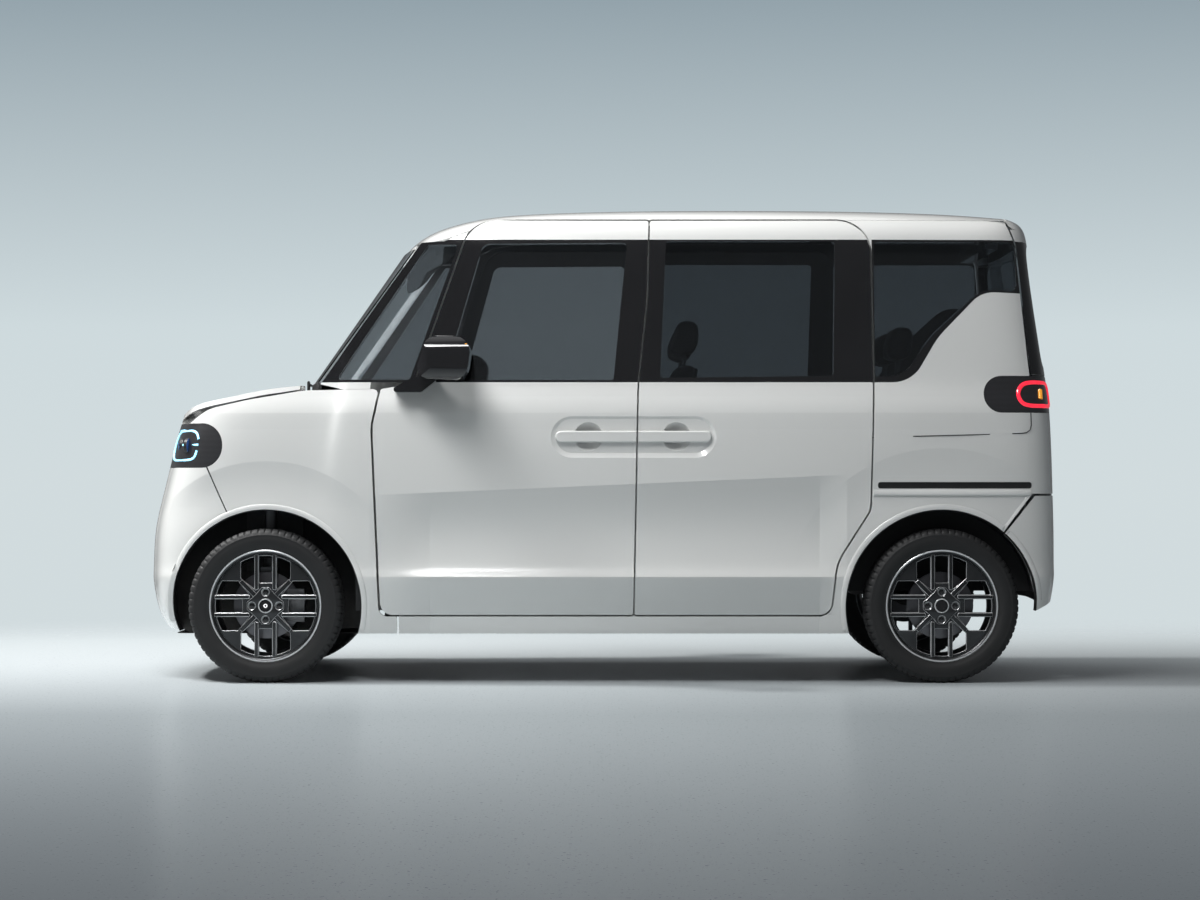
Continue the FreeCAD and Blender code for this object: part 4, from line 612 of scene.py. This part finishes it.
# A raised or let-in strip that follows the skin along an open line seen from the side
def relief(tree, line, profile):
    count, width = len(line), len(profile)
    points, base = [], skin_side
    for i, (x, z) in enumerate(line):
        before, after = line[max(i - 1, 0)], line[min(i + 1, count - 1)]
        along = Vector((after[0] - before[0], after[1] - before[1])).normalized()
        places = [(x - along.y * reach, z + along.x * reach, proud) for reach, proud in profile]
        depths = [side_depth(tree, px, pz) for px, pz, proud in places]
        base = min([depth for depth in depths if depth is not None] or [base])
        for (px, pz, proud), depth in zip(places, depths):
            on_skin = depth is not None and depth < base + skin_step
            points.append((px, (depth if on_skin else base) - proud, pz))
    caps = [tuple(range(width)), tuple(range((count - 1) * width, count * width))]
    return make_mesh("relief", points, strip_faces(count, width) + caps, 50)


def arch_line(axle, start, stop):
    steps = 90
    turns = [math.radians(start + (stop - start) * k / steps) for k in range(steps + 1)]
    return [(axle + arch_lip_radius * math.cos(t), hub_height + arch_lip_radius * math.sin(t)) for t in turns]


# Tyres: turned section with ribs, grooves and shoulder blocks
tyre_side = [(0.192, 0.06), (0.1965, 0.0668), (0.2045, 0.0722), (0.2075, 0.0745), (0.2095, 0.0748),
             (0.2125, 0.0752), (0.219, 0.0788), (0.23, 0.0815), (0.239, 0.0822), (0.248, 0.0814),
             (0.256, 0.08), (0.2575, 0.0803), (0.2595, 0.08), (0.261, 0.0789), (0.266, 0.0773),
             (0.2705, 0.0748), (0.2745, 0.0712), (0.2775, 0.0668), (0.2795, 0.062)]
groove_places = (-0.0355, -0.012, 0.012, 0.0355)
groove_half, groove_deep = 0.004, 0.0062
tyre_pitches, steps_a_pitch = 68, 5
shoulder_cut, rib_cut = 0.0042, 0.0026


def tread_line():
    line = [0.0575, 0.052, 0.0465]
    for place in sorted(groove_places, reverse=True):
        line += [place + groove_half + 0.0003, place + groove_half - 0.0012, place - groove_half + 0.0012,
                 place - groove_half - 0.0003]
        if place > -0.03:
            line.append(place - 0.0118)
    return line + [-0.0465, -0.052, -0.0575]


def tread_cut(r, y, phase):
    if any(abs(y - g) < groove_half for g in groove_places):
        return groove_deep
    if 0.044 < abs(y) < 0.0775 and r > 0.262 and phase == 0:
        return shoulder_cut
    beside = any(abs(abs(y - g) - groove_half) < 0.0016 for g in groove_places)
    if abs(y) < 0.044 and phase == (2 if y > 0 else 4) and beside:
        return rib_cut
    return 0.0


def tyre_mesh():
    section = tyre_side + [(hub_height, y) for y in tread_line()] + [(r, -y) for r, y in reversed(tyre_side)]
    steps = tyre_pitches * steps_a_pitch
    points = []
    for k in range(steps):
        turn, phase = math.tau * k / steps, k % steps_a_pitch
        for r, y in section:
            here = r - tread_cut(r, y, phase)
            points.append((here * math.cos(turn), here * math.sin(turn), y))
    return make_mesh("tyre", points, ring_faces(len(section), steps), 28)


# Alloy wheel: a plate with windows, raised ribs, a hub with four bolts, the rim and the brake disc.
# Its finishes by number are 0 wheel metal, 1 machined metal, 2 gloss black and 3 disc steel.
quarter_turns = [math.pi / 2 * k for k in range(4)]
bolt_circle, pocket_radius, nut_radius = 0.05, 0.0145, 0.0105
rib_inner, rib_outer, rib_low, rib_high = 0.0255, 0.0395, 0.056, 0.187
spoke_half, spoke_low, spoke_high = 0.0085, 0.048, 0.128
window_reach, window_unit = 0.183, 0.1897


def window_loops():
    def top(x):
        return math.sqrt(window_reach ** 2 - x ** 2)
    slot_x, side_in, side_out = (share * window_unit for share in (0.127, 0.215, 0.475))
    slot = [(-slot_x, 0.084, 0.003), (slot_x, 0.084, 0.003), (slot_x, top(slot_x), 0.003),
            (0.0, window_reach, 0.05), (-slot_x, top(slot_x), 0.003)]
    middle = (side_in + side_out) / 2
    side = [(side_in, 0.06, 0.002), (side_out, 0.1, 0.002), (side_out, top(side_out), 0.003),
            (middle, top(middle), 0.05), (side_in, top(side_in), 0.003)]
    loops = []
    for angle in quarter_turns:
        turn = Matrix.Rotation(angle, 2)
        for corners in (slot, side, [(-x, y, r) for x, y, r in side]):
            loops.append([tuple(turn @ Vector(p)) for p in rounded(corners)])
    return loops


def slanted(face):
    return 0.25 < abs(face.normal.z) < 0.94


# A plate at some height on the wheel, with machined edges
def raised(loops, half_thick, edge, height, turn=0.0):
    face = painted(plate(loops, half_thick, edge), 1, slanted)
    return moved(face, Matrix.Rotation(turn, 4, "Z") @ Matrix.Translation((0, 0, height)))


def wheel_mesh():
    bolts = [(bolt_circle * math.cos(turn), bolt_circle * math.sin(turn)) for turn in quarter_turns]
    pockets = [circle(pocket_radius, 24, x, y) for x, y in bolts]
    meshes = [raised([circle(0.1905, 96)] + window_loops() + pockets, 0.0095, 0.0026, 0.0505)]
    for turn in quarter_turns:
        for side in (-1, 1):
            rib = rounded([(side * rib_inner, rib_low + 0.004, 0.003), (side * rib_inner, rib_high, 0.002),
                           (side * rib_outer, rib_high, 0.002), (side * rib_outer, rib_low, 0.003)])
            meshes.append(raised([rib], 0.0062, 0.0034, 0.059, turn))
        spoke = rounded([(-spoke_half, spoke_low, 0.002), (-spoke_half, spoke_high, 0.002),
                         (spoke_half, spoke_high, 0.002), (spoke_half, spoke_low, 0.002)])
        meshes.append(raised([spoke], 0.0046, 0.0026, 0.0585, math.pi / 4 + turn))
    star = []
    for k in range(8):
        reach = 0.069 if k % 2 == 0 else 0.056
        for angle in (math.tau * k / 8 - 0.2, math.tau * k / 8 + 0.2):
            star.append((reach * math.cos(angle), reach * math.sin(angle), 0.006))
    meshes.append(raised([rounded(star)] + pockets, 0.0085, 0.0022, 0.056))
    cap = turned([(0.0, 0.0), (0.0, 0.003), (0.02, 0.0028), (0.0212, 0.0016), (0.0225, 0.0034),
                  (0.0255, 0.0034), (0.0268, 0.002), (0.0268, 0.0)], 64)
    cap = painted(painted(cap, 2), 1, lambda face: face.center.xy.length > 0.0222)
    meshes.append(moved(cap, Matrix.Translation((0, 0, 0.0635))))
    for x, y in bolts:
        cup = turned([(0.0145, 0.059), (0.0138, 0.0585), (0.0128, 0.044), (0.0, 0.0435), (0.0, 0.0425),
                      (0.0149, 0.0425)], 24)
        meshes.append(moved(painted(cup, 1), Matrix.Translation((x, y, 0))))
        nut = plate([circle(nut_radius, 6)], 0.0075, 0.0016)
        meshes.append(moved(painted(nut, 2), Matrix.Translation((x, y, 0.0505))))
    rim = [(0.1972, 0.0688), (0.2044, 0.0702), (0.2046, 0.0728), (0.203, 0.0738), (0.199, 0.0734),
           (0.1945, 0.0712), (0.1915, 0.067), (0.1895, 0.06), (0.1878, 0.048), (0.185, 0.02), (0.174, 0.006),
           (0.1735, -0.022), (0.183, -0.042), (0.19, -0.064), (0.199, -0.0734), (0.2044, -0.0728),
           (0.2046, -0.07), (0.1972, -0.0685), (0.1945, -0.045), (0.18, -0.024), (0.18, 0.004),
           (0.1945, 0.03)]
    meshes.append(painted(turned(rim, 128), 1, lambda face: face.center.z > 0.0732))
    disc = turned([(0.05, 0.01), (0.072, 0.01), (0.076, 0.0092), (0.12, 0.009), (0.122, 0.008),
                   (0.122, 0.003), (0.112, 0.003), (0.112, -0.003), (0.122, -0.003), (0.122, -0.008),
                   (0.12, -0.009), (0.076, -0.009), (0.05, -0.01)], 96)
    hub = turned([(0.0, 0.042), (0.06, 0.042), (0.066, 0.04), (0.072, 0.03), (0.072, 0.01),
                  (0.0, 0.01)], 64)
    return joined("wheel", meshes + [painted(disc, 3), painted(hub, 3)])


# An upright wheel's own axes: the plate's Z points out of the car
def wheel_place(axle, side):
    turn = Matrix(((-side, 0, 0), (0, 0, side), (0, 1, 0)))
    return Matrix.Translation((axle, side * track_half, hub_height)) @ turn.to_4x4()


def wheels():
    tyre, wheel = tyre_mesh(), wheel_mesh()
    finishes = [wheel_metal, bright_metal, gloss_black, disc_steel]
    for end, axle in (("front", front_axle), ("rear", rear_axle)):
        for hand, side in sides:
            tag, node, place = end[0] + hand, "_%s_%s" % (end, hand), wheel_place(axle, side)
            ring = place_piece("tyre_tread_" + tag, moved(tyre.copy(), place), rubber, "wheel_" + tag)
            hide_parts("tyre" + node)
            alloy = place_piece("alloy_wheel_" + tag, moved(wheel.copy(), place), finishes, "wheel_" + tag)
            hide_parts("wheel" + node)


# Lamps: light guides laid on the lamp's face, lenses and turn lamps. Where a ray misses, a near one is used.
guide_step, lens_height = 0.004, 0.866


def lamp_path(tree, steps, tail, sink):
    points = []
    for view, a, z in steps:
        for step in (0, 1, -1, 2, -2, 3, -3, 4, -4, 6, -6, 8, -8):
            near = a + guide_step * step
            hit = side_depth(tree, near, z) if view == "side" else end_depth(tree, near, z, tail)
            if hit is not None:
                ends = (hit - sink if tail else hit + sink, near, z)
                points.append((near, hit + sink, z) if view == "side" else ends)
                break
    return points


def flip(points):
    return [(x, -y, z) for x, y, z in points]


def lens_mesh(x, y, lean):
    lens = turned([(0.0, 0.006), (0.012, 0.0052), (0.02, 0.003), (0.0235, 0.0), (0.0265, 0.001),
                   (0.0285, -0.001), (0.0285, -0.012), (0.0, -0.012)], 48)
    lens = painted(lens, 1, lambda face: face.center.xy.length > 0.024)
    turn = Matrix.Rotation(math.radians(-90), 4, "Y") @ Matrix.Rotation(math.radians(lean), 4, "X")
    return moved(lens, Matrix.Translation((x + 0.004, y, lens_height)) @ turn)


def lamps():
    head = skin(["headlamps"])
    ring = [("side", -1.4735, 0.89), ("side", -1.476, 0.905), ("side", -1.485, 0.9165),
            ("side", -1.5, 0.9215), ("side", -1.54, 0.9225), ("side", -1.58, 0.921), ("front", -0.625, 0.92),
            ("front", -0.58, 0.9195), ("front", -0.52, 0.919), ("front", -0.485, 0.915),
            ("front", -0.465, 0.896), ("front", -0.46, 0.866), ("front", -0.465, 0.836),
            ("front", -0.485, 0.818), ("front", -0.52, 0.8125), ("front", -0.58, 0.8115),
            ("front", -0.625, 0.8115), ("side", -1.58, 0.8115), ("side", -1.54, 0.8118),
            ("side", -1.508, 0.8135), ("side", -1.493, 0.819), ("side", -1.4835, 0.832),
            ("side", -1.48, 0.848)]
    bar = [("side", -1.474, 0.869), ("side", -1.5, 0.869), ("side", -1.54, 0.869)]
    tail = skin(["tail_lamps"])
    loop = [("rear", -0.63, 1.0965), ("rear", -0.66, 1.0965), ("side", 1.625, 1.0965), ("side", 1.6, 1.097),
            ("side", 1.57, 1.0965), ("side", 1.54, 1.088), ("side", 1.524, 1.0535), ("side", 1.54, 1.019),
            ("side", 1.57, 1.0105), ("side", 1.6, 1.01), ("side", 1.625, 1.0105), ("rear", -0.66, 1.0105),
            ("rear", -0.63, 1.0105), ("rear", -0.595, 1.011), ("rear", -0.572, 1.025),
            ("rear", -0.565, 1.0535), ("rear", -0.572, 1.082), ("rear", -0.595, 1.096)]
    amber = [("side", 1.612, 1.07), ("side", 1.612, 1.0535), ("side", 1.612, 1.037)]
    front = [("head_guide_", lamp_path(head, ring, False, 0.0015), 0.0048),
             ("head_bar_", lamp_path(head, bar, False, 0.0015), 0.0042)]
    rear = [("tail_guide_", lamp_path(tail, loop, True, 0.003), 0.0085, guide_red, True),
            ("tail_turn_", lamp_path(tail, amber, True, 0.002), 0.01, guide_amber, False)]
    for tag, side in sides:
        for name, path, radius in front:
            tube(name + tag, path if side < 0 else flip(path), radius, guide_white, "shell")
        for k, (y, lean) in enumerate(((-0.6, -18), (-0.53, 0))):
            lens = lens_mesh(end_depth(head, y, lens_height, False), y, lean)
            if side > 0:
                lens = moved(lens, mirror_y)
            place_piece("head_lens_%d_%s" % (k, tag), lens, [lens_blue_sheen, satin_black], "shell")
        for name, path, radius, finish, closed in rear:
            tube(name + tag, path if side < 0 else flip(path), radius, finish, "shell", closed)


# A body-coloured strip beside the rear bumper's slanting joint, so that an even line stays open
def gap_strip(tree):
    low, high = Vector((1.47, 0.544)), Vector((1.578, 0.686))
    along = (high - low).normalized()
    across = Vector((-along.y, along.x))
    profile = ((0.003, -0.006), (0.003, 0.0006), (0.0125, 0.0006), (0.015, -0.002))
    steps, points = 12, []
    for k in range(steps + 1):
        place = low + (high - low) * k / steps
        beside = place + across * 0.016
        depth = side_depth(tree, beside.x, beside.y) or skin_side
        for reach, proud in profile:
            edge = place + across * reach
            points.append((edge.x, depth - proud, edge.y))
    return make_mesh("gap strip", points, strip_faces(steps + 1, len(profile)), 50)


# Body details laid on the skin: arch lips, the rail's ledge, the rear bumper's strip, and a black strip on
# the quarter's seam that paints the joint's shade
def body_details():
    side = skin(["side_frame_l", "fender_l", "front_bumper", "rear_bumper", "front_door_l", "slide_door_l"])
    lip = [(-0.0115, -0.012), (-0.011, 0.0012), (-0.009, 0.003), (0.0085, 0.0036), (0.011, 0.0022),
           (0.0125, -0.002)]
    ledge = [(-0.014, -0.002), (-0.0115, 0.0045), (-0.006, 0.007), (0.006, 0.002), (0.012, -0.001)]
    seam = [(-0.0018, -0.0008), (-0.0016, 0.0018), (0.0016, 0.0018), (0.0018, -0.0008)]
    quarter = [(0.995, 0.895), (1.15, 0.899), (1.35, 0.9045), (1.535, 0.9098), (1.556, 0.9125),
               (1.57, 0.923), (1.5745, 0.94), (1.5735, 0.985)]
    rail = [(0.996 + 0.012 * k, 0.695) for k in range(49)]
    front_arch, rear_arch = arch_line(front_axle, -14, 190), arch_line(rear_axle, 3, 194)
    both_sides("front_arch_lip", lambda: relief(side, front_arch, lip), white_paint)
    both_sides("rear_arch_lip", lambda: relief(side, rear_arch, lip), white_paint)
    both_sides("rail_ledge", lambda: relief(side, rail, ledge), white_paint)
    both_sides("bumper_gap_strip", lambda: gap_strip(side), white_paint)
    # The black seam strip stands for the shade in the panel joint: painted shade
    both_sides("quarter_seam_shade", lambda: relief(side, quarter, seam), satin_black)


# Mirrors: a turn lamp strip at each one's outer end
def mirror_lamps():
    low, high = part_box("mirror_l")
    strip = [(high[0] - 0.012, low[1] + 0.012, 1.17), (high[0] - 0.01, low[1] + 0.006, 1.2),
             (high[0] - 0.014, low[1] + 0.012, 1.228)]
    tube("mirror_turn_lamp_l", strip, 0.0055, guide_amber, "door_l")
    tube("mirror_turn_lamp_r", flip(strip), 0.0055, guide_amber, "door_r")


# Splash shields: a wall inboard of each front wheel and a tray under the motor bay
shield_y, shield_half = 0.385, 0.0015


def shields():
    wall = [(-1.615, 0.215, 0.02), (-1.615, 0.56, 0.03), (-1.48, 0.69, 0.04), (-0.92, 0.69, 0.04),
            (-0.86, 0.36, 0.03), (-0.89, 0.185, 0.02), (-1.54, 0.165, 0.02)]
    tray = [(-1.59, -0.39, 0.03), (-0.9, -0.39, 0.02), (-0.9, 0.39, 0.02), (-1.59, 0.39, 0.03)]
    for tag, side in sides:
        panel = shade(pad_mesh(wall, side * shield_y - shield_half, side * shield_y + shield_half, 0.0006))
        place_piece("front_shield_" + tag, panel, liner_black, "shell")
    sheet = moved(shade(plate([rounded(tray)], shield_half, 0.0006)), Matrix.Translation((0, 0, 0.166)))
    place_piece("front_tray", sheet, liner_black, "shell")


# Springs round the front struts
spring_radius, spring_wire, spring_turns, spring_steps = 0.052, 0.006, 5.5, 77


def springs():
    for tag, side in sides:
        foot, head = Vector((front_axle, side * 0.538, 0.64)), Vector((front_axle, side * 0.507, 0.835))
        axis = (head - foot).normalized()
        across = axis.orthogonal().normalized()
        aside = axis.cross(across)
        points = []
        for k in range(spring_steps + 1):
            t = k / spring_steps
            turn = math.tau * spring_turns * t
            beside = foot + (head - foot) * t + across * spring_radius * math.cos(turn)
            points.append(tuple(beside + aside * spring_radius * math.sin(turn)))
        tube("front_spring_" + tag, points, spring_wire, chassis_black, "shell")


# Seats: each pad starts as a rounded slab, is remeshed and blown up as cloth, then sewn lines are laid on it
def pad_mesh(outline, low, high, edge):
    slab = plate([rounded(outline)], (high - low) / 2, edge, 3)
    turn = Matrix(((1, 0, 0), (0, 0, -1), (0, 1, 0))).to_4x4()
    return moved(slab, Matrix.Translation((0, (low + high) / 2, 0)) @ turn)


# The pad's mesh in even voxels, blown up as cloth by no more than the cap, and smoothed
pad_pressure, pad_cap, pad_frames = 3.0, 0.01, 16


def blown(name, mesh, voxel):
    scene = bpy.context.scene
    holder = bpy.data.objects.new(name + "_form", mesh)
    scene.collection.objects.link(holder)
    remesh = holder.modifiers.new("voxels", "REMESH")
    remesh.mode = "VOXEL"
    remesh.voxel_size = voxel
    solid = bpy.data.meshes.new_from_object(holder.evaluated_get(bpy.context.evaluated_depsgraph_get()))
    holder.modifiers.clear()
    start = [vertex.co.copy() for vertex in solid.vertices]
    holder.data = solid
    cloth = holder.modifiers.new("cloth", "CLOTH")
    cloth.settings.use_pressure = True
    cloth.settings.uniform_pressure_force = pad_pressure
    cloth.settings.effector_weights.gravity = 0
    cloth.settings.quality = 4
    cloth.point_cache.frame_start, cloth.point_cache.frame_end = 1, pad_frames
    for step in range(1, pad_frames + 1):
        scene.frame_set(step)
    solid = bpy.data.meshes.new_from_object(holder.evaluated_get(bpy.context.evaluated_depsgraph_get()))
    for vertex, before in zip(solid.vertices, start):
        shift = vertex.co - before
        if shift.length > pad_cap:
            vertex.co = before + shift * (pad_cap / shift.length)
    scene.frame_set(1)
    bpy.data.objects.remove(holder)
    reworked(solid, smoothed, smoothed, smoothed)
    solid.materials.clear()
    return shade(solid, 80)


# Points from shares of the wheelbase and of the belt's and the roof's heights, each with a corner radius
def at(shares):
    points = []
    for along, up, radius in shares:
        height = belt_height * up if up < 1 else belt_height + roof_rise * (up - 1)
        points.append((front_axle + wheelbase * (along - 1), height, radius))
    return points


# Piping along the line where an upright lengthwise plane cuts a pad
def seam_line(mesh, name, y):
    form = bmesh.new()
    form.from_mesh(mesh)
    cut = bmesh.ops.bisect_plane(form, geom=form.verts[:] + form.edges[:] + form.faces[:], plane_co=(0, y, 0),
                                 plane_no=(0, 1, 0))
    links = {}
    for item in cut["geom_cut"]:
        if isinstance(item, bmesh.types.BMEdge):
            a, b = item.verts
            links.setdefault(a, []).append(b)
            links.setdefault(b, []).append(a)
    here = next(iter(links))
    line, last = [here.co.copy()], None
    while True:
        onward = [v for v in links[here] if v is not last]
        if not onward:
            break
        last, here = here, onward[0]
        if here.co == line[0] or len(line) > len(links):
            break
        line.append(here.co.copy())
    form.free()
    tube(name, [tuple(p) for p in line[::2]], 0.0028, piping, "shell", closed=True)


def seat_trim(name, outline, low, high, edge):
    return place_piece(name, shade(pad_mesh(outline, low, high, edge)), trim_grey, "shell")


def head_posts(name, ends, middle):
    for k, y in enumerate((middle - 0.055, middle + 0.055)):
        points = [(x, y, z) for x, z, radius in at(ends)]
        tube(name + str(k), points, 0.006, bare_steel, "shell", smooth=False)


seat_middle, bench_middle, head_half = 0.3175, 0.263, 0.118


def seat_pads():
    pads = []
    cushion = at([(1.338, 0.508, 0.02), (1.338, 0.58, 0.05), (1.556, 0.562, 0.02), (1.564, 0.478, 0.02)])
    back = at([(1.526, 0.572, 0.03), (1.614, 1.115, 0.04), (1.641, 1.115, 0.04), (1.588, 0.532, 0.03)])
    head = at([(1.602, 1.175, 0.03), (1.613, 1.355, 0.035), (1.646, 1.355, 0.035), (1.64, 1.175, 0.03)])
    for tag, side in sides:
        middle = side * seat_middle
        inner, outer = sorted((side * 0.085, side * 0.55))
        pads += [("front_cushion_" + tag, cushion, inner, outer, 0.03, 0.01),
                 ("front_back_" + tag, back, inner + 0.01, outer - 0.01, 0.026, 0.01),
                 ("front_head_" + tag, head, middle - head_half, middle + head_half, 0.028, 0.007)]
    bench = at([(1.748, 0.498, 0.02), (1.748, 0.584, 0.04), (1.899, 0.578, 0.02), (1.899, 0.498, 0.02)])
    bench_back = at([(1.896, 0.552, 0.03), (1.945, 1.088, 0.04), (1.97, 1.088, 0.04), (1.932, 0.512, 0.03)])
    for tag, low, high in (("l", -0.518, -0.004), ("r", 0.004, 0.518)):
        pads.append(("bench_cushion_" + tag, bench, low, high, 0.026, 0.01))
        pads.append(("bench_back_" + tag, bench_back, low, high, 0.024, 0.01))
    shift = wheelbase * (1.94 - 1.612)
    bench_head = [(x + shift, z - 0.02, r) for x, z, r in head]
    for tag, side in sides:
        middle = side * bench_middle
        pads.append(("bench_head_" + tag, bench_head, middle - head_half, middle + head_half, 0.028, 0.007))
    for name, outline, low, high, edge, voxel in pads:
        mesh = blown(name, pad_mesh(outline, low, high, edge), voxel)
        place_piece(name, mesh, seat_cloth, "shell")
        if "head" not in name:
            for k, share in enumerate((0.2, 0.8)):
                seam_line(mesh, name + "_seam_%d" % k, low + (high - low) * share)


def seat_frames():
    base = at([(1.372, 0.285, 0.01), (1.35, 0.5, 0.02), (1.56, 0.478, 0.02), (1.53, 0.285, 0.01)])
    shell = at([(1.56, 0.5, 0.02), (1.628, 1.09, 0.02), (1.6435, 1.09, 0.02), (1.592, 0.5, 0.02)])
    for tag, side in sides:
        middle = side * seat_middle
        inner, outer = sorted((side * 0.125, side * 0.51))
        seat_trim("front_seat_base_" + tag, base, inner, outer, 0.008)
        seat_trim("front_seat_shell_" + tag, shell, middle - 0.19, middle + 0.19, 0.006)
        head_posts("front_head_post_" + tag, [(1.622, 1.085, 0), (1.626, 1.22, 0)], middle)
        head_posts("bench_head_post_" + tag, [(1.952, 1.06, 0), (1.955, 1.2, 0)], side * bench_middle)
    bench_base = at([(1.774, 0.285, 0.01), (1.768, 0.505, 0.02), (1.905, 0.505, 0.02), (1.905, 0.459, 0.0),
                     (1.85, 0.459, 0.0), (1.825, 0.285, 0.01)])
    bench = seat_trim("bench_base", bench_base, -0.47, 0.47, 0.008)
    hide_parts("front_seats")
    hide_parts("rear_seat")


# Studio: a pale floor with painted shade that darkens it towards the camera, which fades into the background
floor_reach = 30.0
floor_far, floor_near_shade, floor_front_shade = (0.72, 0.77, 0.79, 1), (0.27, 0.3, 0.315, 1), (0.19, 0.215, 0.235, 1)


def studio_floor():
    corners = [(-floor_reach, -floor_reach, 0), (floor_reach, -floor_reach, 0),
               (floor_reach, floor_reach, 0), (-floor_reach, floor_reach, 0)]
    sheet = bpy.data.meshes.new("studio_floor")
    sheet.from_pydata(corners, [], [(0, 1, 2, 3)])
    floor = bpy.data.objects.new("studio_floor", sheet)
    bpy.context.scene.collection.objects.link(floor)
    pale, tree, shader = start_finish("pale studio floor", IOR=1.14)
    x, y, z = three_of(tree)
    # The darker near and front colours are painted shade towards the camera
    nearer_shade = blend_colour(tree, share_past(tree, 2.2, y, 4.4), floor_far, floor_near_shade)
    feed(shader, Base_Color=blend_colour(tree, share_past(tree, -2.2, y, 4.4), nearer_shade, floor_front_shade),
         Roughness=blend_value(tree, noise(tree, 90.0, 3.0), 0.24, 0.34))
    far = distance(tree, maths(tree, "DIVIDE", x, 9.0), maths(tree, "DIVIDE", plus(tree, y, 4.0), 9.5))
    share = share_past(tree, far, 0.45, 0.5)
    soft = times(tree, share, share, minus(tree, 3.0, times(tree, share, 2.0)))
    clear = place_node(tree, "BsdfTransparent").outputs[0]
    feed(tree.nodes["Material Output"], Surface=mixed_shader(tree, soft, shader.outputs[0], clear))
    sheet.materials.append(pale)


# The background that the camera sees, and the plain light that the world gives
def studio_world():
    world = bpy.data.worlds.new("studio")
    bpy.context.scene.world = world
    world.use_nodes = True
    tree = world.node_tree
    tree.nodes.clear()
    ramp = place_node(tree, "ValToRGB", Fac=three_of(tree, "Generated")[2])
    low, high = ramp.color_ramp.elements
    low.position, low.color = 0.0, (0.64, 0.71, 0.73, 1)
    high.position, high.color = 0.17, (0.26, 0.33, 0.375, 1)
    ramp.color_ramp.elements.new(0.05).color = (0.62, 0.7, 0.725, 1)
    seen = place_node(tree, "Background", Color=ramp.outputs["Color"], Strength=1.0).outputs[0]
    light = place_node(tree, "Background", Color=(0.84, 0.88, 0.92, 1), Strength=0.14).outputs[0]
    paths = place_node(tree, "LightPath").outputs
    direct = maths(tree, "MAXIMUM", paths["Is Camera Ray"], paths["Is Transmission Ray"])
    place_node(tree, "OutputWorld", Surface=mixed_shader(tree, direct, light, seen))


def soft_lamp(name, place, aim, size, watts, colour=(1, 1, 1), glossy=True):
    lamp = bpy.data.lights.new(name, "AREA")
    lamp.shape = "RECTANGLE"
    lamp.size, lamp.size_y = size
    lamp.energy = watts
    lamp.color = colour
    piece = bpy.data.objects.new(name, lamp)
    piece.visible_glossy = glossy
    piece.location = place
    piece.rotation_euler = (Vector(aim) - Vector(place)).to_track_quat("-Z", "Y").to_euler()
    bpy.context.scene.collection.objects.link(piece)


# The photograph's view: a level camera, square to the car's side
def camera():
    view = bpy.data.cameras.new("view")
    view.sensor_width = 36.0
    view.lens = 89.7
    view.shift_y = 0.025
    view.clip_end = 200.0
    piece = bpy.data.objects.new("view", view)
    piece.location = (0.0, -11.62, 0.74)
    piece.rotation_euler = (math.radians(90), 0, 0)
    bpy.context.scene.collection.objects.link(piece)
    bpy.context.scene.camera = piece


wheels()
lamps()
body_details()
mirror_lamps()
springs()
shields()
seat_pads()
seat_frames()
studio_floor()
studio_world()
soft_lamp("overhead", (-1.0, 1.0, 5.5), (0, 0.5, 0), (7.0, 3.0), 25)
soft_lamp("key", (-5.6, 0.1, 6.2), (0, 0, 0.3), (0.8, 0.8), 560, (1.0, 0.99, 0.97))
soft_lamp("side", (-2.2, -2.3, 4.7), (0, -0.8, 0.8), (5.6, 0.8), 330)
soft_lamp("fill", (0.0, -11.0, 4.5), (0, 0, 0.9), (8.0, 2.5), 30, glossy=False)
soft_lamp("rear", (0.0, 5.5, 5.0), (0, 9.0, 0), (12.0, 1.5), 420)
camera()
bpy.context.scene.view_settings.view_transform = "Standard"
